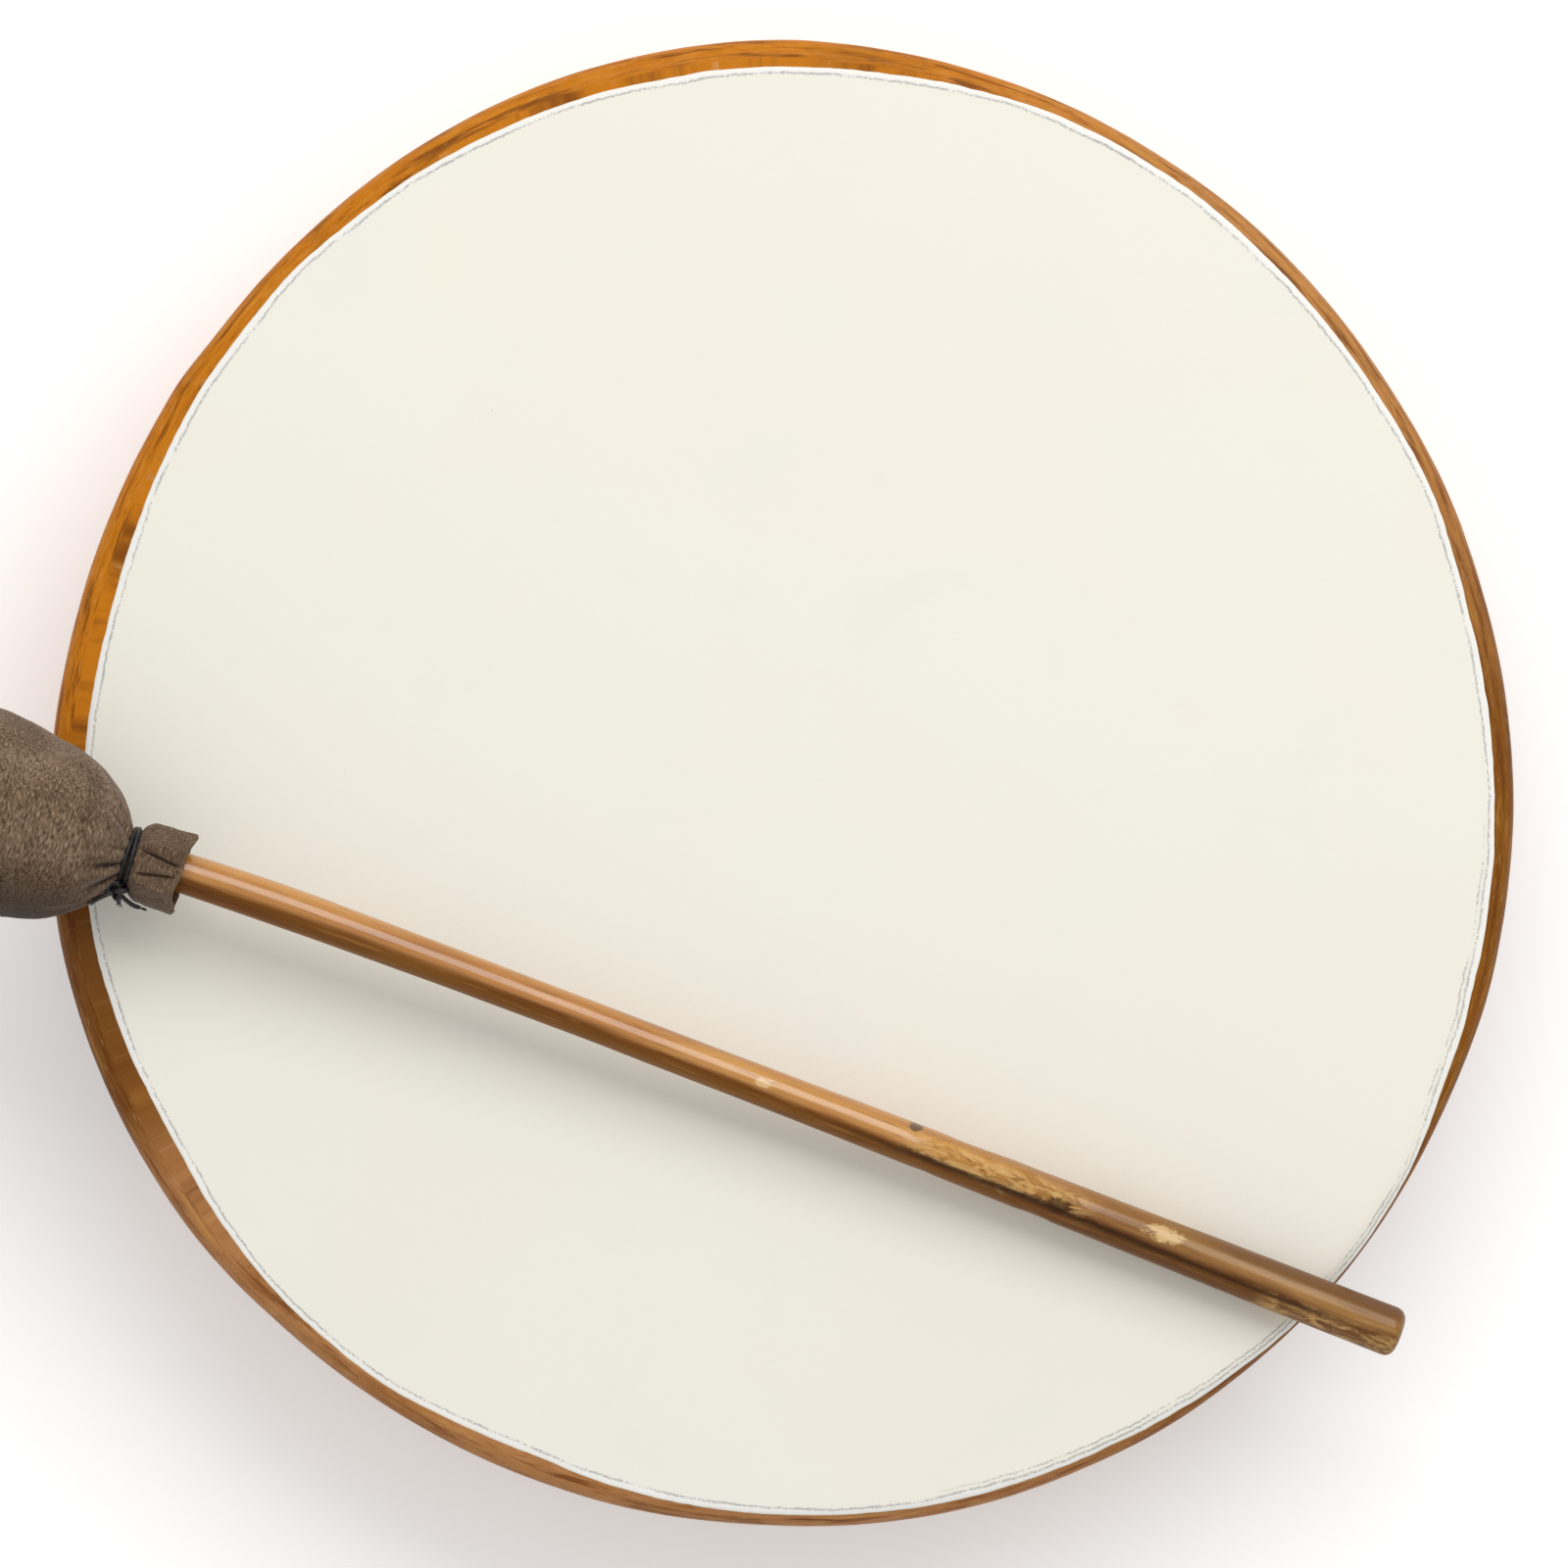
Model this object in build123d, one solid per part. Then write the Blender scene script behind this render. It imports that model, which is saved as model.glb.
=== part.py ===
"""Frame drum with its padded beater, lying face up.

The drum is a bent wooden hoop. A rawhide skin is stretched over its front, round its side and
under its back edge, and is laced across the back to a hand ring. A thin pale ground coat
covers the playing face. The beater lies across the rim: a tapered stick with a wool-padded
head in a gathered suede cover.

Millimetres. +Z up. The origin is on the drum's axis, on the plane that its back edge rests on.
"""
from build123d import *
from math import acos, asin, atan2, cos, degrees, hypot, radians, sin, sqrt
import os

# ---- drum: driving sizes ----
drum_radius = 203.1                # mean outer radius, hide included
drum_depth = 70.0                  # back edge to playing face
# how the hand-bent hoop departs from a circle: (lobes, height, direction of the first lobe)
hoop_bend = ((2, 1.60, 95.0), (3, 1.65, 82.8), (4, 0.70, 14.9))
outline_points = 36
hoop_thickness = 9.0
hide_thickness = 1.2
rim_round = 5.5                    # outer radius of the hide where it turns over the front
back_round = 3.0                   # and where it turns under the back
hoop_inner_ease = 1.2              # rounding of the hoop's inner edges

# ---- ground coat on the playing face ----
ground_thickness = 0.25
bare_band = 6.0                    # mean width of the hide left bare outside it
ground_bend = ((1, 3.00, -17.4), (2, 3.10, 100.1), (3, 1.00, 77.6), (4, 0.90, 43.9))
ground_reach = 4.0                 # how far down the rounded rim the coat may run

# ---- nails through the glued scarf joint that closes the hoop ----
scarf_direction = 205.0
nail_radius = 1.25
nail_head_radius = 3.2
nail_head_height = 1.0
nail_columns = (-16.0, 16.0)
nail_edge = 14.0                   # outer rows, from the drum's edges

# ---- turned-in edge of the hide, with its lace holes ----
lace_holes = 24
turn_in_rise = 8.0                 # how far the laces draw the edge up inside the hoop
turn_in_run = 8.0
tongue_length = 12.0
notch_radius = 14.0
notch_depth = 2.0                  # how far a notch reaches past the tongue's root
lace_radius = 1.3
hole_clearance = 0.6
lace_clearance = 0.2

# ---- hand ring and cross-shaped grip ----
quadrants = (("north", 90.0), ("east", 0.0), ("south", 270.0), ("west", 180.0))
ring_radius = 24.0
ring_bar_radius = 3.5
ring_wrap_thickness = 1.2
strand_gap = 0.15                  # between strands in a bundle
bundle_end = 80.0                  # where the strands start to fan out
bundle_bend = 10.0
grip_set_off = 7.0                 # from the ring's centreline to the grip
grip_end = 69.0
grip_wrap_thickness = 1.2
grip_clearance = 0.3
ring_lace_clearance = 0.6

# ---- beater ----
tie_direction = 185.92             # plan direction of the tie, where stick and head meet
tie_inset = 23.76                  # and how far inside the drum's outline it lies
stick_heading = -20.7              # plan direction from the tie to the stick's far end
head_heading = -17.3               # the head sits slightly askew on the stick
rest_gap = 0.3                     # between the beater and the rim it rests on
# stations along the stick from the tie: (distance, radius, sideways bow)
stick_stations = (
    (-50.0, 5.2, -0.6),
    (-5.0, 5.5, 0.4),
    (40.0, 5.8, 2.2),
    (85.0, 5.5, 2.7),
    (130.0, 5.3, 2.65),
    (175.0, 5.45, 2.4),
    (220.0, 5.75, 2.0),
    (265.0, 6.1, 1.5),
    (310.0, 6.5, 0.9),
    (341.0, 6.75, 0.4),
    (372.0, 6.9, 0.0),
)
stick_end_ease = 3.0
shoulder_radius = 10.2
shoulder_clearance = 0.5           # from the tie cord to the head's shoulder
# outer outline of the covered head past its shoulder: (distance from the tie, radius)
head_stations = (
    (-12.0, 19.9),
    (-28.0, 25.8),
    (-44.0, 28.3),
    (-59.0, 25.8),
    (-70.0, 18.6),
    (-77.0, 8.8),
)
head_length = 79.0
cover_thickness = 1.4
neck_radius = 7.0
skirt_length = 15.0
skirt_radius = 12.2
skirt_thickness = 1.1
tie_turns = 3
tie_radius = 0.8
binding_at = (-20.0, -36.0, -52.0)
binding_radius = 1.0
knot_radius = 2.6
knot_tail = 7.0

# ---- worked-out sizes ----
hoop_inset = hide_thickness
bore_inset = hide_thickness + hoop_thickness
ground_radius = drum_radius - bare_band
nail_rows = (nail_edge, drum_depth / 2, drum_depth - nail_edge)
tongue_root_inset = bore_inset + turn_in_run
tongue_tip_inset = tongue_root_inset + tongue_length
lace_level = turn_in_rise + hide_thickness / 2
hole_turn = hide_thickness / 2 + lace_radius + lace_clearance
hole_radius = lace_radius + hole_clearance
hole_inset = tongue_root_inset + hole_radius + 1.5
ring_turn = ring_bar_radius + lace_radius + ring_lace_clearance
strands = lace_holes // len(quadrants)
lace_pitch = 2 * lace_radius + strand_gap
grip_start = ring_radius + grip_set_off
bundle_half_width = (strands - 1) / 2 * lace_pitch + lace_radius
tie_ring = neck_radius + tie_radius
skirt_start = tie_turns * tie_radius
head_outline = ((-skirt_start - shoulder_clearance, shoulder_radius),) + head_stations

os.makedirs("parts", exist_ok=True)


def save(solids, node):
    """Write one node, made of one solid or of a group of like solids."""
    shape = Compound(children=solids) if isinstance(solids, list) else solids
    shape.label = node
    export_step(shape, "parts/" + node + ".step")


def bent_radius(radius, bend, angle):
    """Radius of a hand-bent outline in the direction of angle, in degrees."""
    return radius + sum(height * cos(lobes * radians(angle - first)) for lobes, height, first in bend)


def outline(inset, z, radius=drum_radius, bend=hoop_bend):
    """Closed face on a hand-bent outline, inset from it, at height z."""
    points = []
    for step in range(outline_points):
        angle = 360.0 * step / outline_points
        r = bent_radius(radius, bend, angle) - inset
        points.append((r * cos(radians(angle)), r * sin(radians(angle)), z))
    return Face(Wire([Edge.make_spline(points, periodic=True)]))


def slab(inset, low, high, radius=drum_radius, bend=hoop_bend):
    """Upright block on a hand-bent outline."""
    return Solid.extrude(outline(inset, low, radius, bend), Vector(0, 0, high - low))


def rounded_slab(inset, low, high, low_round, high_round):
    """The same block, with its lower and upper edges rounded."""
    block = slab(inset, low, high)
    top = block.edges().sort_by(Axis.Z)[-1]
    block = block.fillet(high_round, [top])
    bottom = block.edges().sort_by(Axis.Z)[0]
    return block.fillet(low_round, [bottom])


def rim_point(angle, inset, z=0.0):
    """Point at an inset from the drum's outline."""
    r = bent_radius(drum_radius, hoop_bend, angle) - inset
    return Vector(r * cos(radians(angle)), r * sin(radians(angle)), z)


# ---- hoop: one steam-bent board, its tapered ends lapped and glued into a closed ring ----
hoop_block = rounded_slab(
    hoop_inset,
    hide_thickness,
    drum_depth - hide_thickness,
    back_round - hide_thickness,
    rim_round - hide_thickness,
)
hoop = hoop_block - slab(bore_inset, 0.0, drum_depth)
hoop = hoop.solids()[0]
inner_rims = [edge for edge in hoop.edges() if edge.length < 2 * 3.15 * (drum_radius - bore_inset + 0.5)]
inner_rims = [edge for edge in inner_rims if edge.length > drum_radius]
hoop = hoop.fillet(hoop_inner_ease, inner_rims)

# ---- copper clench nails through the scarf, headed on the inside ----
nails = []
nail_holes = []
for column in nail_columns:
    nail_direction = scarf_direction + degrees(column / drum_radius)
    for row in nail_rows:
        foot = rim_point(nail_direction, hide_thickness + 0.8, row)
        head = rim_point(nail_direction, bore_inset, row)
        inward = (head - foot).normalized()
        shank_plane = Plane(origin=foot, z_dir=inward)
        shank_length = (head - foot).length
        shank = shank_plane * Cylinder(nail_radius, shank_length, align=(Align.CENTER, Align.CENTER, Align.MIN))
        head_plane = Plane(origin=head + inward * 0.05, z_dir=inward)
        nail_head = head_plane * Cylinder(
            nail_head_radius, nail_head_height, align=(Align.CENTER, Align.CENTER, Align.MIN)
        )
        dome_edge = nail_head.edges().filter_by(GeomType.CIRCLE).sort_by_distance(Vector(0, 0, row))[0]
        nail_head = nail_head.fillet(nail_head_height * 0.8, [dome_edge])
        neck = shank_plane * Cylinder(
            nail_radius, shank_length + 0.3, align=(Align.CENTER, Align.CENTER, Align.MIN)
        )
        nails.append((neck + nail_head).solids()[0])
        nail_holes.append(neck)

for hole in nail_holes:
    hoop = hoop - hole
save(hoop.solids()[0], "hoop")
save(nails, "hoop_nails")

# ---- rawhide: one skin over the face, the side and the back edge ----
hide_block = rounded_slab(0.0, 0.0, drum_depth, back_round, rim_round)
hide = hide_block - hoop_block
hide = hide - slab(bore_inset, -1.0, hide_thickness + 1.0)

root_low = outline(bore_inset, 0.0)
root_high = outline(bore_inset, hide_thickness)
tip_low = outline(tongue_root_inset, turn_in_rise)
tip_high = outline(tongue_root_inset, turn_in_rise + hide_thickness)
lower_cone = Solid.make_loft([root_low.outer_wire(), tip_low.outer_wire()], True)
upper_cone = Solid.make_loft([root_high.outer_wire(), tip_high.outer_wire()], True)
turn_in = upper_cone + slab(bore_inset, 0.0, hide_thickness) - lower_cone
turn_in = turn_in + slab(tongue_root_inset, turn_in_rise, turn_in_rise + hide_thickness)
turn_in = turn_in - slab(tongue_tip_inset, -1.0, drum_depth / 2)
hide = hide + turn_in
cutters = []
for index in range(lace_holes):
    hole_angle = (index + 0.5) * 360.0 / lace_holes
    notch_angle = index * 360.0 / lace_holes
    hole_centre = rim_point(hole_angle, hole_inset, turn_in_rise)
    cutters.append(Location(hole_centre) * Cylinder(hole_radius, 3 * hide_thickness))
    notch_centre = rim_point(notch_angle, tongue_root_inset + notch_radius - notch_depth, turn_in_rise)
    cutters.append(Location(notch_centre) * Cylinder(notch_radius, 3 * turn_in_rise))
for cutter in cutters:
    hide = hide - cutter
save(hide.solids().sort_by(SortBy.VOLUME)[-1], "rawhide_head")

# ---- ground coat: a thin brushed layer over the face and onto the rounded rim ----
coat_block = slab(-ground_thickness, drum_depth - 2 * rim_round, drum_depth + ground_thickness)
coat_top = coat_block.edges().sort_by(Axis.Z)[-1]
coat_block = coat_block.fillet(rim_round + ground_thickness, [coat_top])
coat_area = slab(0.0, drum_depth - ground_reach, drum_depth + 1.0, ground_radius, ground_bend)
ground = (coat_block - hide_block) & coat_area
save(ground.solids()[0], "face_ground")

# ---- hand ring, and the thong wound round it between the bundles ----
ring_place = Location((0, 0, lace_level))
save(ring_place * Solid.make_torus(ring_radius, ring_bar_radius), "hand_ring")

wrap_outer = ring_bar_radius + ring_wrap_thickness
wrap_half_gap = degrees(asin((bundle_half_width + grip_clearance) / (ring_radius - wrap_outer)))
wrap_sweep = 90.0 - 2 * wrap_half_gap
ring_wraps = []
for name, direction in quadrants:
    start = radians(direction + wrap_half_gap)
    spot = Plane(
        origin=(ring_radius * cos(start), ring_radius * sin(start), lace_level),
        x_dir=(cos(start), sin(start), 0),
        z_dir=(-sin(start), cos(start), 0),
    )
    section = spot * (Circle(wrap_outer) - Circle(ring_bar_radius))
    ring_wraps.append(revolve(section, Axis.Z, wrap_sweep).solids()[0])
save(ring_wraps, "ring_wrap")


def thong_loop(hole_angle, direction, lateral):
    """One thong: round the hand ring, along the bundle, out to its hole and back beneath."""
    turn = Location((0, 0, lace_level), (0, 0, direction))
    bar_x = sqrt(ring_radius**2 - lateral**2)
    hole = rim_point(hole_angle, hole_inset)
    away = hypot(hole.X, hole.Y)
    local = radians(hole_angle - direction)
    hole_centre = Vector(away * cos(local), away * sin(local), 0)
    outward = (hole_centre - Vector(bundle_end, lateral, 0)).normalized()
    edge_centre = hole_centre - outward * hole_turn
    run = bundle_end - bar_x
    leave = atan2(hole_turn, run) + acos(ring_turn / hypot(run, hole_turn))

    def on_ring(angle):
        return Vector(bar_x + ring_turn * cos(angle), lateral, ring_turn * sin(angle))

    bend_point = Vector(bundle_end, lateral, hole_turn)
    hole_point = edge_centre + Vector(0, 0, hole_turn)
    half_pi = radians(90.0)
    first_arc = Edge.make_three_point_arc(
        on_ring(2 * half_pi), on_ring((2 * half_pi + leave) / 2), on_ring(leave)
    )
    runs = FilletPolyline(on_ring(leave), bend_point, hole_point, radius=bundle_bend)
    dip = radians(45.0)
    middle = edge_centre + outward * (hole_turn * cos(dip)) + Vector(0, 0, hole_turn * sin(dip))
    last_arc = Edge.make_three_point_arc(hole_point, middle, hole_centre)
    path = Wire([first_arc] + list(runs.edges()) + [last_arc])
    section = Plane(origin=on_ring(2 * half_pi), z_dir=(0, 0, 1)) * Circle(lace_radius)
    upper = sweep(section, path=path).solids()[0]
    lower = upper.mirror(Plane.XY)
    whole = upper + lower
    return turn * whole.solids()[0]


# ---- lacing: six thongs in each quarter, gathered into a flat bundle ----
hole_step = 360.0 / lace_holes
for name, direction in quadrants:
    thongs = []
    for strand in range(strands):
        order = strand - (strands - 1) / 2
        thongs.append(thong_loop(direction + order * hole_step, direction, order * lace_pitch))
    save(thongs, "lace_" + name)
    print(
        "lace", name, "radii",
        round(ring_turn, 2), round(bundle_bend, 2), round(hole_turn, 2),
    )

# ---- leather strip wound round each bundle: the arms of the cross grip ----


def strand_height(x):
    """Half height of the bundle at a distance from the drum's axis."""
    share = (x - ring_radius) / (bundle_end - ring_radius)
    return ring_turn + (hole_turn - ring_turn) * share + lace_radius


def grip_section(x, grow):
    """Flattened round section across a bundle."""
    high = strand_height(x) + grip_clearance + grow
    wide = bundle_half_width + grip_clearance + grow
    spot = Plane(origin=(x, 0, 0), x_dir=(0, 1, 0), z_dir=(1, 0, 0))
    return (spot * RectangleRounded(2 * wide, 2 * high, lace_radius + grip_clearance + grow)).face()


for name, direction in quadrants:
    turn = Location((0, 0, lace_level), (0, 0, direction))
    skin = Solid.make_loft(
        [grip_section(x, grip_wrap_thickness).outer_wire() for x in (grip_start, grip_end)], True
    )
    core = Solid.make_loft([grip_section(x, 0.0).outer_wire() for x in (grip_start - 2, grip_end + 2)], True)
    save((turn * (skin - core)).solids()[0], "grip_wrap_" + name)

# ---- beater: how it rests, its head over one side of the rim and its stick on the other ----
tie_plan = rim_point(tie_direction, tie_inset)


def beater_plane(heading, lift, fall):
    """Frame at the tie whose X runs towards the stick's far end."""
    along = Vector(cos(radians(heading)) * cos(fall), sin(radians(heading)) * cos(fall), -sin(fall))
    across = Vector(-sin(radians(heading)), cos(radians(heading)), 0)
    return Plane(origin=tie_plan + Vector(0, 0, lift), x_dir=along, z_dir=along.cross(across))


def head_side(shrink):
    """Outline of the head from its shoulder to its tip."""
    tip = Vector(-head_length + shrink, 0, 0)
    points = [Vector(distance, radius - shrink, 0) for distance, radius in head_outline]
    points[0] = points[0] - Vector(shrink, 0, 0)
    return Edge.make_spline(points + [tip], tangents=[Vector(-1, 1.6, 0), Vector(0, -1, 0)], scale=False)


def rest_height(spot):
    """Height that keeps the rest gap over the drum's front at a plan point."""
    angle = degrees(atan2(spot.Y, spot.X))
    away = hypot(spot.X, spot.Y)
    round_over = rim_round + rest_gap
    inset = bent_radius(drum_radius, hoop_bend, angle) + rest_gap - away
    if inset <= 0:
        return 0.0
    coat = ground_thickness if away < bent_radius(ground_radius, ground_bend, angle) else 0.0
    past_flat = max(round_over - inset, 0.0)
    return drum_depth + rest_gap + coat - round_over + sqrt(round_over**2 - past_flat**2)


head_samples = []
for step in range(121):
    spot = head_side(0.0) @ (step / 120)
    for roll in range(-60, 61, 4):
        head_samples.append(Vector(spot.X, spot.Y * sin(radians(roll)), -spot.Y * cos(radians(roll))))
stick_samples = []
for (near, near_radius, near_bow), (far, far_radius, far_bow) in zip(stick_stations, stick_stations[1:]):
    for step in range(20):
        distance = near + (far - near) * step / 20
        radius = near_radius + (far_radius - near_radius) * step / 20
        bow = near_bow + (far_bow - near_bow) * step / 20
        if stick_stations[-1][0] / 2 < distance < stick_stations[-1][0] - stick_end_ease:
            stick_samples.append(Vector(distance, bow, -radius))

tie_lift = drum_depth
stick_fall = 0.0
for attempt in range(6):
    head_frame = beater_plane(head_heading, tie_lift, stick_fall)
    stands = [head_frame.from_local_coords(sample) for sample in head_samples]
    tie_lift = tie_lift + max(rest_height(spot) - spot.Z for spot in stands)
    stick_frame = beater_plane(stick_heading, tie_lift, stick_fall)
    rests = []
    for sample in stick_samples:
        spot = stick_frame.from_local_coords(sample)
        rests.append(asin((tie_lift + sample.Z - rest_height(spot)) / sample.X))
    stick_fall = min(rests)

# ---- beater: stick ----
stick_sections = []
for distance, radius, bow in stick_stations:
    spot = Plane(origin=(distance, bow, 0), x_dir=(0, 1, 0), z_dir=(1, 0, 0))
    stick_sections.append((spot * Circle(radius)).face().outer_wire())
stick = Solid.make_loft(stick_sections)
end_rim = stick.edges().sort_by(Axis.X)[-1]
stick = stick.fillet(stick_end_ease, [end_rim])
stick = beater_plane(stick_heading, tie_lift, stick_fall).location * stick
save(stick, "beater_stick")

# ---- beater: wool padding, bound with cord, on the stick's end ----
head_place = beater_plane(head_heading, tie_lift, stick_fall).location


def head_solid(shrink):
    """Body of revolution inside the head's outline."""
    side = head_side(shrink)
    tip = side @ 1
    neck_end = Vector((side @ 0).X, 0, 0)
    closing = [Edge.make_line(tip, neck_end), Edge.make_line(neck_end, side @ 0)]
    return revolve(Face(Wire([side] + closing)), Axis.X, 360.0).solids()[0]


def padding_radius(distance):
    """Radius of the padding at a distance from the tie, read off its outline."""
    for (near, near_r), (far, far_r) in zip(head_outline, head_outline[1:]):
        if far <= distance <= near:
            return near_r + (far_r - near_r) * (near - distance) / (near - far) - cover_thickness
    return 0.0


padding_body = head_solid(cover_thickness)
binding = []
for distance in binding_at:
    spot = Location((distance, 0, 0), (0, 90, 0))
    binding.append(spot * Solid.make_torus(padding_radius(distance) - binding_radius, binding_radius))
padding = head_place * padding_body - stick
for turn in binding:
    padding = padding - head_place * turn
save(padding.solids().sort_by(SortBy.VOLUME)[-1], "head_padding")
save([head_place * turn for turn in binding], "padding_binding")

# ---- beater: suede cover, gathered at the neck, with its edge flared in a skirt ----
neck_from = head_outline[0][0]
neck = Location((neck_from, 0, 0), (0, 90, 0)) * Cylinder(
    neck_radius, skirt_start - neck_from, align=(Align.CENTER, Align.CENTER, Align.MIN)
)
skirt_end = skirt_start + skirt_length
skirt_outer = [(skirt_start, 0), (skirt_start, neck_radius), (skirt_end, skirt_radius), (skirt_end, 0)]
skirt_inner = [
    (skirt_start, 0),
    (skirt_start, neck_radius - skirt_thickness),
    (skirt_end, skirt_radius - skirt_thickness),
    (skirt_end, 0),
]
skirt = revolve(make_face(Polyline(*skirt_outer, close=True)), Axis.X, 360.0) - revolve(
    make_face(Polyline(*skirt_inner, close=True)), Axis.X, 360.0
)
cover = head_solid(0.0) + neck + skirt
cover = head_place * cover - head_place * padding_body - stick
save(cover.solids().sort_by(SortBy.VOLUME)[-1], "head_cover")

# ---- beater: waxed cord wound round the neck, and its knot ----
turns = []
for index in range(tie_turns):
    place = (index - (tie_turns - 1) / 2) * 2 * tie_radius
    turns.append(head_place * Location((place, 0, 0), (0, 90, 0)) * Solid.make_torus(tie_ring, tie_radius))
save(turns, "tie_cord")

knot_centre = Vector(0, -(tie_ring + tie_radius + knot_radius), 0)
knot = Location(knot_centre) * Sphere(knot_radius)
for lean in (-35.0, 20.0):
    tail_plane = Plane(origin=knot_centre, z_dir=(sin(radians(lean)), -cos(radians(lean)), 0.1))
    tail = tail_plane * Cylinder(tie_radius, knot_tail, align=(Align.CENTER, Align.CENTER, Align.MIN))
    knot = knot + tail
save((head_place * knot).solids()[0], "tie_knot")
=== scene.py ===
from math import atan2, cos, degrees, pi, radians, sin, sqrt
import random
import bmesh
import bpy
import numpy as np
from mathutils import Matrix, Vector, noise


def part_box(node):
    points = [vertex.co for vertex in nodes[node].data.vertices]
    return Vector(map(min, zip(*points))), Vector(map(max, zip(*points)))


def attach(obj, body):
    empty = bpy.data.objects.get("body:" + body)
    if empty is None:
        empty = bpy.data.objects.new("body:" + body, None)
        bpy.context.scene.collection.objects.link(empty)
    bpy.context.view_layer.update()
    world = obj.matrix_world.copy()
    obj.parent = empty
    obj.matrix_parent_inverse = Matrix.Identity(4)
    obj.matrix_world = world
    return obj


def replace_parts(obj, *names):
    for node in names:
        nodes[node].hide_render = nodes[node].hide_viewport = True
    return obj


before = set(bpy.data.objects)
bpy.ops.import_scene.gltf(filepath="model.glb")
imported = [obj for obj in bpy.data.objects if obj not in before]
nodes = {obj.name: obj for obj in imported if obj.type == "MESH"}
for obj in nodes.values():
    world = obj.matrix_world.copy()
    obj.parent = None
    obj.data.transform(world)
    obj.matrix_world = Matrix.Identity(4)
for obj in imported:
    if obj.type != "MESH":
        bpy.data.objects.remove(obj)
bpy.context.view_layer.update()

# ---- hoop: one steam-bent ash board, oiled, its tapered ends glued in a long scarf ----
# The grain runs round the drum. The hide covers its outside and both edges, so it is
# seen from behind only, with six copper clench nails headed over on its inner face.


class Flow:
    """A value or colour that runs between the nodes of one finish."""

    def __init__(self, finish, socket):
        self.finish = finish
        self.socket = socket

    def maths(self, operation, first, second):
        return self.finish.add("Math", {"operation": operation}, {0: first, 1: second})

    def __add__(self, other):
        return self.maths("ADD", self, other)

    def __radd__(self, other):
        return self.maths("ADD", other, self)

    def __sub__(self, other):
        return self.maths("SUBTRACT", self, other)

    def __rsub__(self, other):
        return self.maths("SUBTRACT", other, self)

    def __mul__(self, other):
        return self.maths("MULTIPLY", self, other)

    def __rmul__(self, other):
        return self.maths("MULTIPLY", other, self)

    def highest(self, other):
        """The larger of this value and another."""
        return self.maths("MAXIMUM", self, other)


class Finish:
    """One procedural material on a Principled surface."""

    def __init__(self, name, **surface):
        self.material = bpy.data.materials.new(name)
        self.material.use_nodes = True
        self.tree = self.material.node_tree
        self.shader = self.tree.nodes["Principled BSDF"]
        for socket, value in surface.items():
            self.shader.inputs[socket.replace("_", " ")].default_value = value
        self.relief = None

    def add(self, kind, settings=None, inputs=None, output=0):
        """Any node: its type, its settings, then the values or links of its sockets."""
        node = self.tree.nodes.new("ShaderNode" + kind)
        for key, value in (settings or {}).items():
            if key == "stops":
                ramp = node.color_ramp
                while len(ramp.elements) < len(value):
                    ramp.elements.new(0.5)
                for element, (place, colour) in zip(ramp.elements, value):
                    element.position = place
                    element.color = (*colour, 1.0)
            else:
                setattr(node, key, value)
        for key, value in (inputs or {}).items():
            if isinstance(value, Flow):
                self.tree.links.new(value.socket, node.inputs[key])
            else:
                node.inputs[key].default_value = value
        return Flow(self, node.outputs[output])

    def place(self):
        """Position on the object, in metres."""
        return self.add("TexCoord", output=3)

    def laid(self, name):
        """A position that the mesh carries, such as along and across a stick."""
        return self.add("Attribute", {"attribute_name": name}, output=1)

    def split(self, vector):
        """The X, Y and Z of a vector."""
        node = self.add("SeparateXYZ", inputs={0: vector}).socket.node
        return [Flow(self, node.outputs[axis]) for axis in range(3)]

    def stretch(self, vector, scale):
        """A position scaled along each axis, so that noise on it draws out."""
        return self.add("VectorMath", {"operation": "MULTIPLY"}, {0: vector, 1: scale})

    def cloud(self, vector, scale, detail=4.0, roughness=0.55, distortion=0.0):
        """Soft noise, about 0 to 1."""
        inputs = {"Vector": vector, "Scale": scale, "Detail": detail}
        inputs.update({"Roughness": roughness, "Distortion": distortion})
        return self.add("TexNoise", inputs=inputs)

    def cells(self, vector, scale):
        """Distance to the nearest of scattered points, in cells."""
        return self.add("TexVoronoi", inputs={"Vector": vector, "Scale": scale})

    def step(self, value, low, high, to_low=0.0, to_high=1.0):
        """Smooth change of a value between two limits."""
        inputs = {0: value, 1: low, 2: high, 3: to_low, 4: to_high}
        return self.add("MapRange", {"interpolation_type": "SMOOTHSTEP"}, inputs)

    def near(self, value, centre, reach):
        """1 where a value is at a centre, falling to 0 at that reach from it."""
        away = self.add("Math", {"operation": "ABSOLUTE"}, {0: value - centre})
        return self.step(away, 0.0, reach, 1.0, 0.0)

    def mix(self, first, second, share):
        """From the first colour to the second."""
        inputs = {0: share}
        for socket, colour in ((6, first), (7, second)):
            inputs[socket] = colour if isinstance(colour, Flow) else (*colour, 1.0)
        return self.add("Mix", {"data_type": "RGBA"}, inputs, output=2)

    def layered(self, colour, *layers):
        """A colour with others laid over it in turn, each with its share."""
        for over, share in layers:
            colour = self.mix(colour, over, share)
        return colour

    def ramp(self, value, *stops):
        """The colour at a value, between stops of (place, colour)."""
        return self.add("ValToRGB", {"stops": stops}, {0: value})

    def feed(self, socket, flow):
        """Join a value or colour to a socket of the surface."""
        self.tree.links.new(flow.socket, self.shader.inputs[socket])

    def bump(self, height, distance, strength=1.0):
        """Fine relief, its full height in metres, over the relief laid before it."""
        inputs = {"Height": height, "Distance": distance, "Strength": strength}
        if self.relief:
            inputs["Normal"] = self.relief
        self.relief = self.add("Bump", inputs=inputs)
        self.feed("Normal", self.relief)


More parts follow.
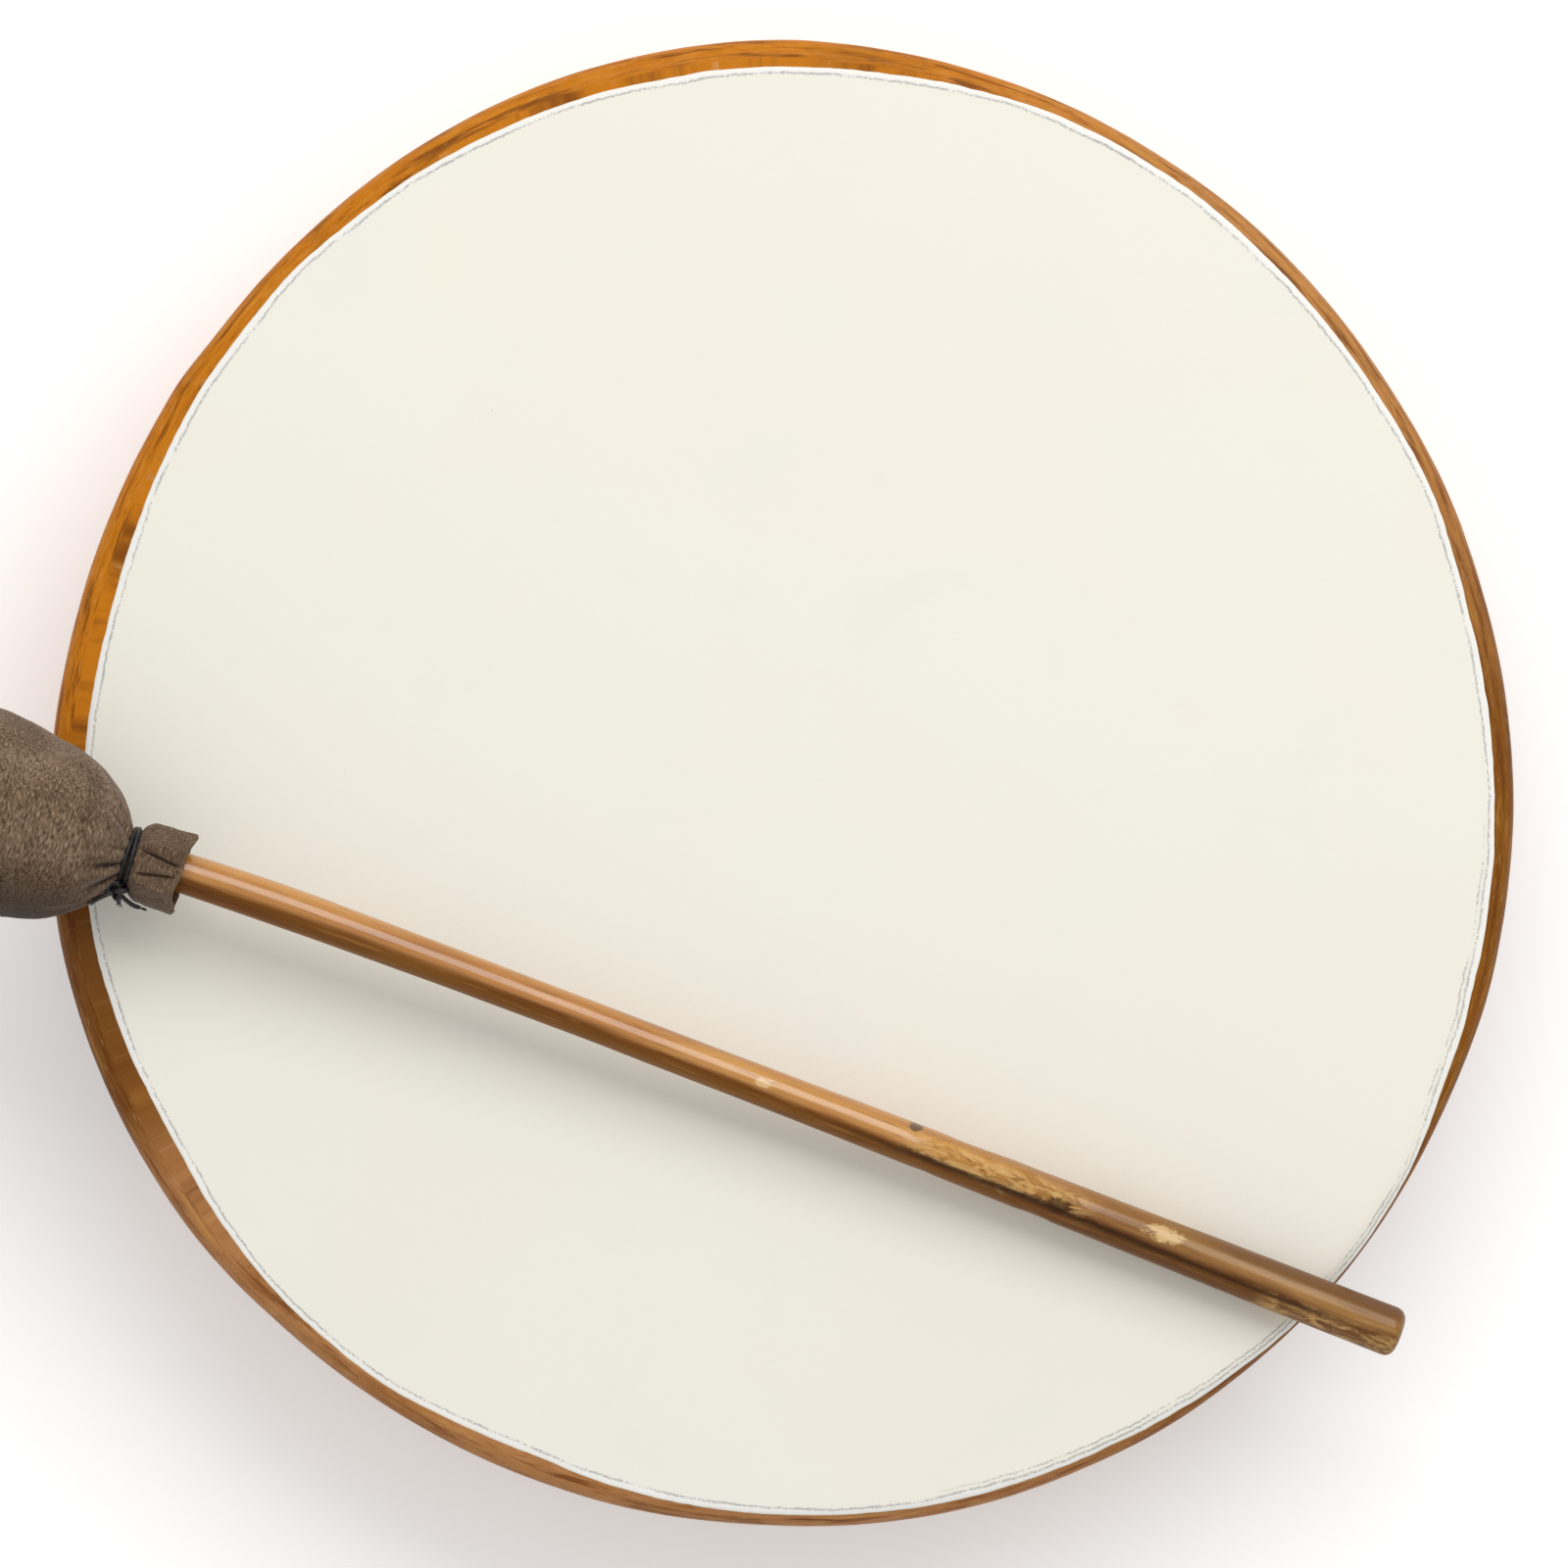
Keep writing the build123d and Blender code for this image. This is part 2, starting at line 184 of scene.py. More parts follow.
def tone(red, green, blue):
    """A colour as the eye reads it on a screen, 0 to 255, made linear."""
    shares = [value / 255.0 for value in (red, green, blue)]
    return tuple(
        share / 12.92 if share < 0.04045 else ((share + 0.055) / 1.055) ** 2.4 for share in shares
    )


def dress(name, finish):
    """Give a CAD node its finish."""
    mesh = nodes[name].data
    mesh.materials.clear()
    mesh.materials.append(finish.material)


ash = Finish("oiled_ash", Roughness=0.48)
ash_long = ash.stretch(ash.place(), (9.0, 9.0, 150.0))
ash_grain = ash.cloud(ash_long, 1.0, 6.0, 0.6, 0.4)
ash_pores = ash.cloud(ash.stretch(ash.place(), (60.0, 60.0, 1600.0)), 1.0, 3.0)
ash_colour = ash.ramp(
    ash_grain, (0.3, tone(142, 98, 56)), (0.5, tone(184, 138, 88)), (0.72, tone(206, 166, 116))
)
ash.feed("Base Color", ash.mix(ash_colour, tone(110, 72, 40), ash.step(ash_pores, 0.55, 0.75, 0.0, 0.6)))
ash.bump(ash_pores, 0.00015, 0.6)
dress("hoop", ash)

copper = Finish("dulled_copper", Metallic=1.0)
copper_stain = copper.cloud(copper.place(), 700.0, 5.0)
copper_tarnish = copper.step(copper_stain, 0.4, 0.7)
copper.feed("Base Color", copper.mix(tone(190, 120, 86), tone(92, 58, 44), copper_tarnish))
copper.feed("Roughness", copper.step(copper_stain, 0.3, 0.7, 0.3, 0.6))
copper.bump(copper_stain, 0.0001, 0.5)
dress("hoop_nails", copper)

# ---- rawhide head: one cow rawhide, soaked, pulled over the hoop and dried drum-tight ----
# It runs over the face, turns down the side and under the back edge, and is drawn in and up
# there in 24 tongues, each with a lace hole. Dry, it is amber and half glossy, with streaks.
columns = 720
turn = np.linspace(0.0, 2.0 * pi, columns, endpoint=False)
millimetre = 0.001
drum_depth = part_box("rawhide_head")[1][2]
drum_radius = 0.2031
hoop_bend = ((2, 0.00160, 95.0), (3, 0.00165, 82.8), (4, 0.00070, 14.9))
rim_waver = ((7, 0.00016, 0.4), (11, 0.00013, 2.1), (17, 0.00009, 5.0), (26, 0.00006, 1.3))
kink_direction = radians(145.8)
kink_width = 0.045
kink_height = 0.0005
hide_thickness = 0.0012
rim_round = 0.0055
back_round = 0.0030
bore_inset = 0.0102
tongue_root_inset = bore_inset + 0.008
tongue_tip_inset = tongue_root_inset + 0.012
turn_in_rise = 0.008
notch_radius = 0.014
lace_holes = 24
hole_radius = 0.0019
hole_inset = tongue_root_inset + hole_radius + 0.0015
hole_reach = 0.0045

outline = np.full(columns, drum_radius)
for lobes, height, first in hoop_bend:
    outline = outline + height * np.cos(lobes * (turn - radians(first)))
for lobes, height, phase in rim_waver:
    outline = outline + height * np.cos(lobes * turn + phase)
outline = outline + kink_height * np.exp(-(((turn - kink_direction) / kink_width) ** 2))

pitch = 2.0 * pi / lace_holes
from_notch = np.abs((turn / pitch + 0.5) % 1.0 - 0.5) * pitch * (drum_radius - tongue_tip_inset)
notch = notch_radius * np.sqrt(np.clip(1.0 - (from_notch / notch_radius) ** 2, 0.0, 1.0))
cut_edge = tongue_tip_inset - notch


def ring_at(inset, height):
    """A ring of points at an inset from the drum's outline."""
    r = outline - inset
    return np.stack([r * np.cos(turn), r * np.sin(turn), np.zeros(columns) + height], axis=-1)


def smooth_step(value):
    """0 below 0, 1 above 1, and an eased rise between them."""
    value = np.clip(value, 0.0, 1.0)
    return value * value * (3.0 - 2.0 * value)


hide_rows = []
membrane = outline - rim_round
for share in (0.01, 0.12, 0.26, 0.4, 0.54, 0.66, 0.78, 0.87, 0.93, 0.97):
    hide_rows.append(ring_at(outline - membrane * share, drum_depth))
first_round_row = len(hide_rows)
for angle in np.radians(np.arange(0.0, 91.0, 9.0)):
    hide_rows.append(ring_at(rim_round * (1.0 - sin(angle)), drum_depth - rim_round * (1.0 - cos(angle))))
first_side_row = len(hide_rows)
for height in np.linspace(drum_depth - rim_round, back_round, 17)[1:-1]:
    hide_rows.append(ring_at(0.0, height))
for angle in np.radians(np.arange(0.0, 91.0, 18.0)):
    hide_rows.append(ring_at(back_round * (1.0 - cos(angle)), back_round * (1.0 - sin(angle))))
first_flat_row = len(hide_rows)
for inset in (0.0055, 0.008, bore_inset):
    hide_rows.append(ring_at(inset, 0.0))
first_tongue_row = len(hide_rows)
hole_share = (hole_inset - bore_inset) / (tongue_tip_inset - bore_inset)
tongue_shares = [0.06 * step for step in range(1, 10)] + [hole_share]
tongue_shares += [0.63 + 0.0617 * step for step in range(6)] + [1.0]
hole_row = first_tongue_row + tongue_shares.index(hole_share)
for share in tongue_shares:
    inset = bore_inset + share * (cut_edge - bore_inset)
    lift = turn_in_rise * smooth_step((inset - bore_inset) / (tongue_root_inset - bore_inset))
    hide_rows.append(ring_at(inset, lift))
hide_points = np.stack(hide_rows)
row_count = len(hide_rows)


def facing(points):
    """Which way a grid of rings faces, at each of its points."""
    along = np.gradient(points, axis=0)
    across = np.roll(points, -1, axis=1) - np.roll(points, 1, axis=1)
    normal = np.cross(along, across)
    return normal / (np.linalg.norm(normal, axis=-1, keepdims=True) + 1e-12)


def mottle(points, scale, seed):
    """Smooth noise at each point, -1 to 1."""
    flat = points.reshape(-1, 3) * scale + seed
    values = [noise.noise(Vector(point)) for point in flat.tolist()]
    return np.array(values).reshape(points.shape[:-1])


def rings(rows, columns, start=0):
    """Faces between rings of points, each ring closed."""
    faces = []
    for row in range(rows - 1):
        for column in range(columns):
            after = (column + 1) % columns
            low = start + row * columns
            high = low + columns
            faces.append((low + column, high + column, high + after, low + after))
    return faces


def grown(name, points, faces, body, finish, marks=None):
    """A closed mesh piece from points and faces, with the positions that its finish reads."""
    mesh = bpy.data.meshes.new(name)
    mesh.from_pydata([tuple(point) for point in points], [], faces)
    for mark, values in (marks or {}).items():
        layer = mesh.attributes.new(mark, "FLOAT_VECTOR", "POINT")
        layer.data.foreach_set("vector", np.asarray(values, dtype=np.float32).ravel())
    work = bmesh.new()
    work.from_mesh(mesh)
    bmesh.ops.recalc_face_normals(work, faces=work.faces)
    work.to_mesh(mesh)
    work.free()
    mesh.polygons.foreach_set("use_smooth", [True] * len(mesh.polygons))
    mesh.materials.append(finish.material)
    piece = bpy.data.objects.new(name, mesh)
    bpy.context.scene.collection.objects.link(piece)
    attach(piece, body)
    return piece


hide_facing = facing(hide_points)
swell = np.zeros(row_count)
swell[first_round_row:first_side_row] = 0.00012
swell[first_side_row:first_flat_row] = 0.00028
swell[first_tongue_row:] = 0.0002
hide_relief = swell[:, None] * (mottle(hide_points, 38.0, 3.0) + 0.5 * mottle(hide_points, 110.0, 9.0))
gather_height = 0.028
side_fall = np.clip((gather_height - hide_points[..., 2]) / gather_height, 0.0, 1.0)
side_fall[:first_side_row] = 0.0
side_fall[first_flat_row:] = 0.0
gather = np.maximum(np.cos(lace_holes * turn + 0.6 * np.sin(5 * turn)), 0.0) ** 5
hide_relief = hide_relief + 0.0005 * side_fall * gather[None, :]
pucker = np.zeros(row_count)
pucker[first_tongue_row : first_tongue_row + 6] = 0.0004
hide_relief = hide_relief - pucker[:, None] * np.cos(3 * lace_holes * turn)[None, :]
hide_points = hide_points + hide_facing * hide_relief[..., None]

open_corners = set()
for hole in range(lace_holes):
    column = int(round((hole + 0.5) * columns / lace_holes))
    centre = hide_points[hole_row, column].copy()
    open_corners.add(hole_row * columns + column)
    for row in range(hole_row - 5, hole_row + 6):
        for beside in range(column - 3, column + 4):
            away = hide_points[row, beside % columns] - centre
            distance = np.linalg.norm(away)
            if 1e-6 < distance < hole_reach:
                opened = hole_radius + distance * (hole_reach - hole_radius) / hole_reach
                hide_points[row, beside % columns] = centre + away * opened / distance

hub = row_count * columns
hide_faces = [face for face in rings(row_count, columns) if not open_corners.intersection(face)]
hide_faces += [(hub, column, (column + 1) % columns) for column in range(columns)]
hide_all = np.vstack([hide_points.reshape(-1, 3), [[0.0, 0.0, drum_depth]]])
lay_radius = 0.2
rim_heading = np.stack([np.cos(turn), np.sin(turn)], axis=-1) * lay_radius
row_gaps = np.linalg.norm(np.diff(hide_points[:, 0], axis=0), axis=-1)
travel = np.concatenate([[0.0], np.cumsum(row_gaps)])
flat_reach = 0.94 * drum_radius
hide_reach = np.linalg.norm(hide_points[..., :2], axis=-1)
flat_end = travel[np.argmax(hide_reach[:, 0] > flat_reach)]
hide_lay = np.zeros((row_count, columns, 3))
hide_lay[..., :2] = rim_heading[None] * np.minimum(hide_reach / flat_reach, 1.0)[..., None]
hide_lay[..., 2] = np.maximum(travel, flat_end)[:, None]
hide_lay = np.vstack([hide_lay.reshape(-1, 3), [[0.0, 0.0, flat_end]]])

rawhide = Finish("amber_rawhide", Coat_Roughness=0.3, Coat_IOR=1.3, Specular_IOR_Level=0.12)
lay = rawhide.laid("lay")
streak = rawhide.cloud(rawhide.stretch(lay, (1.0, 1.0, 14.0)), 46.0, 5.0, 0.6, 0.3)
fine_streak = rawhide.cloud(rawhide.stretch(lay, (1.0, 1.0, 8.0)), 240.0, 4.0, 0.65)
blotch = rawhide.cloud(lay, 34.0, 3.0)


def leaning(finish, spot, direction):
    """How far a place on the rim lies towards a direction, -1 to 1."""
    aim = (cos(radians(direction)) / lay_radius, sin(radians(direction)) / lay_radius, 0.0)
    return finish.add("VectorMath", {"operation": "DOT_PRODUCT"}, {0: spot, 1: aim}, output=1)


rawhide_colour = rawhide.layered(
    tone(184, 128, 78),
    (tone(190, 130, 68), rawhide.step(leaning(rawhide, lay, 48.0), 0.75, 0.95)),
    (tone(204, 122, 12), rawhide.step(leaning(rawhide, lay, 128.0), 0.25, 0.72)),
    (tone(136, 82, 10), rawhide.step(leaning(rawhide, lay, -22.0), 0.62, 0.93)),
    (tone(128, 78, 22), rawhide.step(leaning(rawhide, lay, 196.0), 0.955, 0.99)),
    (tone(104, 50, 0), rawhide.step(streak, 0.48, 0.66, 0.0, 0.75)),
    (tone(224, 160, 66), rawhide.step(streak, 0.46, 0.25, 0.0, 0.42)),
    (tone(120, 66, 18), rawhide.step(fine_streak, 0.52, 0.72, 0.0, 0.5)),
    (tone(222, 182, 124), rawhide.step(fine_streak, 0.44, 0.24, 0.0, 0.4)),
    (tone(146, 86, 28), rawhide.step(blotch, 0.5, 0.75, 0.0, 0.45)),
)
rawhide.feed("Base Color", rawhide_colour)
rawhide.feed("Roughness", rawhide.step(fine_streak, 0.3, 0.7, 0.36, 0.58))
rawhide.feed("Coat Weight", rawhide.step(blotch, 0.3, 0.7, 0.2, 0.05))
rawhide.bump(streak, 0.0005, 0.35)
rawhide.bump(fine_streak, 0.00025, 0.5)
hide = grown("rawhide_skin", hide_all, hide_faces, "drum", rawhide, {"lay": hide_lay})
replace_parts(hide, "rawhide_head")
thick = hide.modifiers.new("hide_thickness", "SOLIDIFY")
thick.thickness = hide_thickness
thick.offset = -1.0

# ---- ground coat: a thin off-white gesso brushed over the playing face by hand ----
# A pencil guide was drawn first, and the brush ran past it to an uneven edge on the rounded
# rim, so the amber band outside it is broad by the beater's head and thin by the stick's end.
coat_thickness = 0.00025
band_width = (
    (0, 5.4), (15, 5.8), (26, 4.0), (45, 4.4), (60, 3.7), (72, 4.4), (82, 7.2), (95, 8.0), (110, 7.6),
    (122, 6.2), (136, 5.0), (150, 6.9), (162, 8.9), (175, 9.5), (190, 9.4), (202, 9.9), (210, 10.4),
    (217, 8.6), (225, 6.0), (236, 4.8), (248, 7.0), (256, 5.4), (266, 3.6), (280, 3.2), (298, 3.0),
    (308, 1.6), (318, 0.5), (328, 0.9), (335, 3.0), (345, 4.9),
)
band = np.interp(np.degrees(turn), [a for a, w in band_width], [w for a, w in band_width], period=360.0)
ease_columns = 10
ease = np.hanning(2 * ease_columns + 1)
band = np.convolve(np.pad(band, ease_columns, mode="wrap"), ease / ease.sum(), mode="valid")
brush = np.stack([np.cos(turn), np.sin(turn), 0.0 * turn], axis=-1)
band = (band + 0.3 * mottle(brush, 14.0, 2.0) + 0.16 * mottle(brush, 60.0, 5.0)) * millimetre
band = np.maximum(band, 0.0003)
on_round = np.arcsin(np.clip(1.0 - band / rim_round, 0.0, 1.0))
coat_travel = np.where(band < rim_round, outline - rim_round + rim_round * on_round, outline - band)


def coat_ring(back, depth):
    """A ring of the coat, that far back from its edge and that far under its own face."""
    at = coat_travel - back
    bend = np.clip((at - (outline - rim_round)) / rim_round, 0.0, pi / 2.0)
    r = np.minimum(at, outline - rim_round) + rim_round * np.sin(bend)
    z = drum_depth - rim_round * (1.0 - np.cos(bend))
    r = r + depth * np.sin(bend)
    z = z + depth * np.cos(bend)
    return np.stack([r * np.cos(turn), r * np.sin(turn), z], axis=-1)


backs = [0.0, 0.00015, 0.0004, 0.0008, 0.0014, 0.0022, 0.0032, 0.0045, 0.0062, 0.0085, 0.012, 0.018, 0.028]
backs = backs + [0.045, 0.07, 0.1, 0.13, 0.16, 0.186]
coat_feather = 0.0009
coat_sink = 0.00012
coat_rows = []
for back in reversed(backs):
    share = float(smooth_step(0.15 + back / coat_feather))
    coat_rows.append(coat_ring(back, coat_thickness * share))
under_rows = [coat_ring(back, -coat_sink) for back in backs]
coat_points = np.stack(coat_rows + under_rows)
coat_lay = np.zeros(coat_points.shape)
coat_lay[..., :2] = rim_heading[None]
coat_lay[..., 2] = np.array(list(reversed(backs)) + backs)[:, None]
coat_faces = rings(len(coat_points), columns)
top_hub = len(coat_points) * columns
last_ring = (len(coat_points) - 1) * columns
coat_faces += [(top_hub, column, (column + 1) % columns) for column in range(columns)]
coat_faces += [
    (top_hub + 1, last_ring + (column + 1) % columns, last_ring + column) for column in range(columns)
]
hubs = [[0.0, 0.0, drum_depth + coat_thickness], [0.0, 0.0, drum_depth - coat_sink]]
coat_all = np.vstack([coat_points.reshape(-1, 3), hubs])
coat_marks = np.vstack([coat_lay.reshape(-1, 3), [[0.0, 0.0, 0.2], [0.0, 0.0, 0.2]]])

gesso = Finish("pale_ground", Roughness=0.72, Specular_IOR_Level=0.3)
face = gesso.place()
face_lay = gesso.laid("lay")
edge_back = gesso.split(face_lay)[2]
wide_cloud = gesso.cloud(face, 7.0, 3.0, 0.5)
soft_cloud = gesso.cloud(face, 24.0, 4.0, 0.6, 0.4)
tooth = gesso.cloud(face, 900.0, 3.0, 0.7)
wander = gesso.cloud(face_lay, 26.0, 2.0)
guide_shake = gesso.cloud(face_lay, 520.0, 2.0, 0.7)
guide_at = wander * 0.0022 + guide_shake * 0.0011 + 0.0002
outside = gesso.step(edge_back - guide_at, -0.0006, 0.0006, 0.75, 0.0)
grit = gesso.cloud(face, 1500.0, 2.0, 0.8)
pressure = gesso.cloud(face_lay, 70.0, 3.0)
guide = gesso.near(edge_back, guide_at, 0.00055) * gesso.step(grit + pressure * 0.7, 0.66, 0.92)
second_at = guide_at + 0.0013
second = gesso.near(edge_back, second_at, 0.0005) * gesso.step(grit + pressure, 0.9, 1.12)
doubled = gesso.step(leaning(gesso, face_lay, -40.0), 0.72, 0.9)
pencil = (guide * 0.75).highest(second * doubled * 0.7)
flecks = gesso.cells(face, 46.0)
fleck_pick = gesso.cloud(face, 31.0, 1.0)
specks = gesso.step(flecks, 0.016, 0.006) * gesso.step(fleck_pick, 0.56, 0.62)
edge_wear = gesso.step(edge_back + tooth * 0.0004, 0.00045, 0.00015, 0.0, 0.5)
cream = gesso.layered(
    tone(248, 245, 233),
    (tone(249, 244, 231), gesso.step(wide_cloud, 0.42, 0.66)),
    (tone(243, 242, 234), gesso.step(soft_cloud, 0.5, 0.78, 0.0, 0.5)),
    (tone(250, 244, 226), gesso.step(soft_cloud, 0.42, 0.2, 0.0, 0.45)),
    (tone(251, 250, 245), outside),
    (tone(158, 158, 157), pencil),
    (tone(176, 160, 128), specks * 0.7),
    (tone(196, 166, 120), edge_wear),
)
gesso.feed("Base Color", cream)
gesso.bump(tooth, 0.00012, 0.35)
gesso.bump(gesso.cloud(face, 130.0, 4.0), 0.0002, 0.15)
coat = grown("gesso_face", coat_all, coat_faces, "drum", gesso, {"lay": coat_marks})
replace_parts(coat, "face_ground")

# ---- lacing: six rawhide thongs to a quarter, each doubled through its hole ----
# They were cut wet and dried hard, so each is a little twisted, translucent and tan. They
# loop round the hand ring, run out side by side and fan to the holes in the hide's edge.
thong = Finish("laced_thong", Roughness=0.46, Coat_Weight=0.2, Coat_Roughness=0.35)
thong_cloud = thong.cloud(thong.place(), 90.0, 4.0, 0.6, 0.6)
thong_grain = thong.cloud(thong.place(), 900.0, 4.0, 0.7)
thong_colour = thong.ramp(
    thong_cloud, (0.32, tone(150, 98, 46)), (0.5, tone(198, 150, 88)), (0.7, tone(222, 184, 130))
)
thong_dark = thong.step(thong_grain, 0.52, 0.72, 0.0, 0.6)
thong.feed("Base Color", thong.mix(thong_colour, tone(120, 74, 34), thong_dark))
thong.bump(thong_cloud, 0.0006, 0.5)
thong.bump(thong_grain, 0.0002, 0.6)
quarters = (("north", 90.0), ("east", 0.0), ("south", 270.0), ("west", 180.0))
for name, heading in quarters:
    dress("lace_" + name, thong)

# ---- hand ring: a welded round-bar steel ring, browned with handling ----
# The laces pull on it from four sides, and leather covers it between them.
steel = Finish("browned_steel", Metallic=1.0)
rust = steel.cloud(steel.place(), 260.0, 6.0, 0.65)
steel.feed("Base Color", steel.mix(tone(120, 112, 104), tone(78, 54, 40), steel.step(rust, 0.42, 0.66)))
steel.feed("Roughness", steel.step(rust, 0.35, 0.7, 0.32, 0.7))
steel.bump(rust, 0.0002, 0.5)
dress("hand_ring", steel)

# ---- ring winding and cross grip: flat strips of brown leather wound edge over edge ----
# Four windings cover the ring between the bundles, and four longer ones bind the bundles
# into the arms of the cross that the hand holds. Each turn laps a little over the last.
strap = Finish("grip_leather", Specular_IOR_Level=0.4)
strap_cloud = strap.cloud(strap.place(), 60.0, 4.0)
strap_pores = strap.cloud(strap.place(), 1300.0, 4.0, 0.65)
strap_turn = strap.split(strap.laid("lay"))[0]
lap_edge = strap.step(strap_turn, 0.78, 1.0)
strap_colour = strap.ramp(
    strap_cloud, (0.34, tone(86, 56, 36)), (0.52, tone(116, 78, 50)), (0.7, tone(140, 100, 68))
)
strap_colour = strap.mix(
    strap_colour, tone(168, 128, 92), lap_edge * strap.step(strap_pores, 0.4, 0.6, 0.2, 0.75)
)
# painted shade in the step under each lapped edge
strap_colour = strap.mix(strap_colour, tone(48, 32, 22), strap.step(strap_turn, 0.1, 0.0, 0.0, 0.85))
strap.feed("Base Color", strap_colour)
strap.feed("Roughness", strap.step(strap_pores, 0.3, 0.7, 0.42, 0.66))
strap.bump(strap_pores, 0.00018, 0.5)
strip_pitch = 0.0058
strip_lap = 0.0007
lap_share = 0.12


def winding(name, rows):
    """A closed leather tube from rows of (outer point, inner point, outward, run)."""
    around = len(rows[0])
    outer, inner, lays = [], [], []
    for row in rows:
        for index, (spot, under, outward, run) in enumerate(row):
            phase = (run / strip_pitch + index / around) % 1.0
            sunk = strip_lap * (1.0 - min(phase / (1.0 - lap_share), (1.0 - phase) / lap_share))
            ruck = 0.00015 * noise.noise(spot * 210.0)
            outer.append(spot - outward * (sunk - ruck))
            inner.append(under)
            lays.append((phase, index / around, run))
    count = len(rows)
    faces = rings(count, around) + [face[::-1] for face in rings(count, around, count * around)]
    offset = count * around
    for first, last in ((0, offset), ((count - 1) * around, offset + (count - 1) * around)):
        for index in range(around):
            after = (index + 1) % around
            ends = (first + index, first + after, last + after, last + index)
            faces.append(ends if first == 0 else ends[::-1])
    return grown(name, outer + inner, faces, "drum", strap, {"lay": lays + lays})


lace_level = 0.0086
bundle_wide = 0.008475
bundle_end = 0.08
grip_start = 0.031
grip_end = 0.069
ring_radius = 0.024
ring_turn = 0.0054
lace_turn = 0.0021
strand_reach = 0.0016
wrap_thickness = 0.0012
corner = 0.0016
corner_steps = 7
side_shares = (0.15, 0.3, 0.45, 0.6, 0.75, 0.88)
grip_corners = ((1, 1, 0), (-1, 1, 90), (-1, -1, 180), (1, -1, 270))
for name, heading in quarters:
    spin = Matrix.Rotation(radians(heading), 3, "Z")
    rows = []
    for along in np.linspace(grip_start, grip_end, 86):
        share = (along - ring_radius) / (bundle_end - ring_radius)
        high = ring_turn + (lace_turn - ring_turn) * share + strand_reach
        spots = []
        for index, (side, top, start) in enumerate(grip_corners):
            foot = np.array((side * (bundle_wide - corner), top * (high - corner)))
            for step in range(corner_steps):
                spots.append((foot, start + 90.0 * step / (corner_steps - 1)))
            next_side, next_top = grip_corners[(index + 1) % 4][:2]
            next_foot = np.array((next_side * (bundle_wide - corner), next_top * (high - corner)))
            for side_share in side_shares:
                spots.append((foot + (next_foot - foot) * side_share, start + 90.0))
        row = []
        for (across, level), degree in spots:
            outward = Vector((0.0, cos(radians(degree)), sin(radians(degree))))
            under = Vector((along, across, lace_level + level)) + outward * corner
            row.append((spin @ (under + outward * wrap_thickness), spin @ under, spin @ outward, along))
        rows.append(row)
    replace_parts(winding("grip_winding_" + name, rows), "grip_wrap_" + name)

ring_bar = 0.0035
wrap_outer = ring_bar + wrap_thickness
half_gap = atan2(bundle_wide, sqrt((ring_radius - wrap_outer) ** 2 - bundle_wide**2))
wrap_around = 40
ring_windings = []
for name, heading in quarters:
    rows = []
    for sweep in np.linspace(radians(heading) + half_gap, radians(heading) + pi / 2.0 - half_gap, 44):
        out = Vector((cos(sweep), sin(sweep), 0.0))
        middle = out * ring_radius + Vector((0.0, 0.0, lace_level))
        row = []
        for step in range(wrap_around):
            angle = 2.0 * pi * step / wrap_around
            outward = out * cos(angle) + Vector((0.0, 0.0, sin(angle)))
            under = middle + outward * ring_bar
            row.append((middle + outward * wrap_outer, under, outward, sweep * ring_radius))
        rows.append(row)
    ring_windings.append(winding("ring_winding_" + name, rows))
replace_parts(ring_windings[0], "ring_wrap")

# ---- beater stick: a peeled branch under glossy brown varnish ----
# It tapers, bows a little and swells at a knot, where a patch of pale and dark bark was
# left. A strip of bark runs to its far end, which is sawn square and rubbed round. All of
# the beater's sizes are in millimetres, from the spot where the tie holds head and stick.
tie_spot = Vector((-0.1784, -0.0185, 0.092528))
stick_fall = radians(2.544)
stick_heading = radians(-20.7)
head_heading = radians(-17.3)


def beater_frame(heading):
    """Along, across and up directions of the beater, at the tie."""
    along = Vector((cos(heading) * cos(stick_fall), sin(heading) * cos(stick_fall), -sin(stick_fall)))
    across = Vector((-sin(heading), cos(heading), 0.0))
    return along, across, along.cross(across)


def placed(points, heading):
    """Points given along, across and up from the tie, in the drum's frame."""
    return np.array([tuple(tie_spot)]) + points @ np.array([tuple(axis) for axis in beater_frame(heading)])


def turned(s, r, a):
    """Points round the beater's axis, from their place along it, radius and angle."""
    return np.stack([s, r * np.cos(a), r * np.sin(a)], axis=-1)


def capped(grid, first_hub, last_hub):
    """Points and faces of a grid of rings closed at both ends, in metres."""
    around = grid.shape[1]
    rows = len(grid)
    faces = rings(rows, around)
    first, last, ring = rows * around, rows * around + 1, (rows - 1) * around
    faces += [(first, (i + 1) % around, i) for i in range(around)]
    faces += [(last, ring + i, ring + (i + 1) % around) for i in range(around)]
    return np.vstack([grid.reshape(-1, 3), [first_hub, last_hub]]) * millimetre, faces


stations = (
    (-50.0, 5.2, -0.6), (-5.0, 5.5, 0.4), (40.0, 5.8, 2.2), (85.0, 5.5, 2.7), (130.0, 5.3, 2.65),
    (175.0, 5.45, 2.4), (220.0, 5.75, 2.0), (265.0, 6.1, 1.5), (310.0, 6.5, 0.9), (341.0, 6.75, 0.4),
    (372.0, 6.9, 0.0),
)
stick_start = -50.0
stick_end = 372.0
stick_ease = 3.0
stick_around = 72
shank_rows = 300
end_round = stick_end - stick_ease + stick_ease * np.sin(np.radians(np.arange(15.0, 91.0, 15.0)))
lengths = np.concatenate([np.linspace(stick_start, stick_end - stick_ease, shank_rows), end_round])
stick_r = np.interp(lengths, [s for s, r, b in stations], [r for s, r, b in stations])
stick_bow = np.interp(lengths, [s for s, r, b in stations], [b for s, r, b in stations])
bend_rows = 20
bend = np.hanning(2 * bend_rows + 1)
shank_bow = np.pad(stick_bow[:shank_rows], bend_rows, mode="edge")
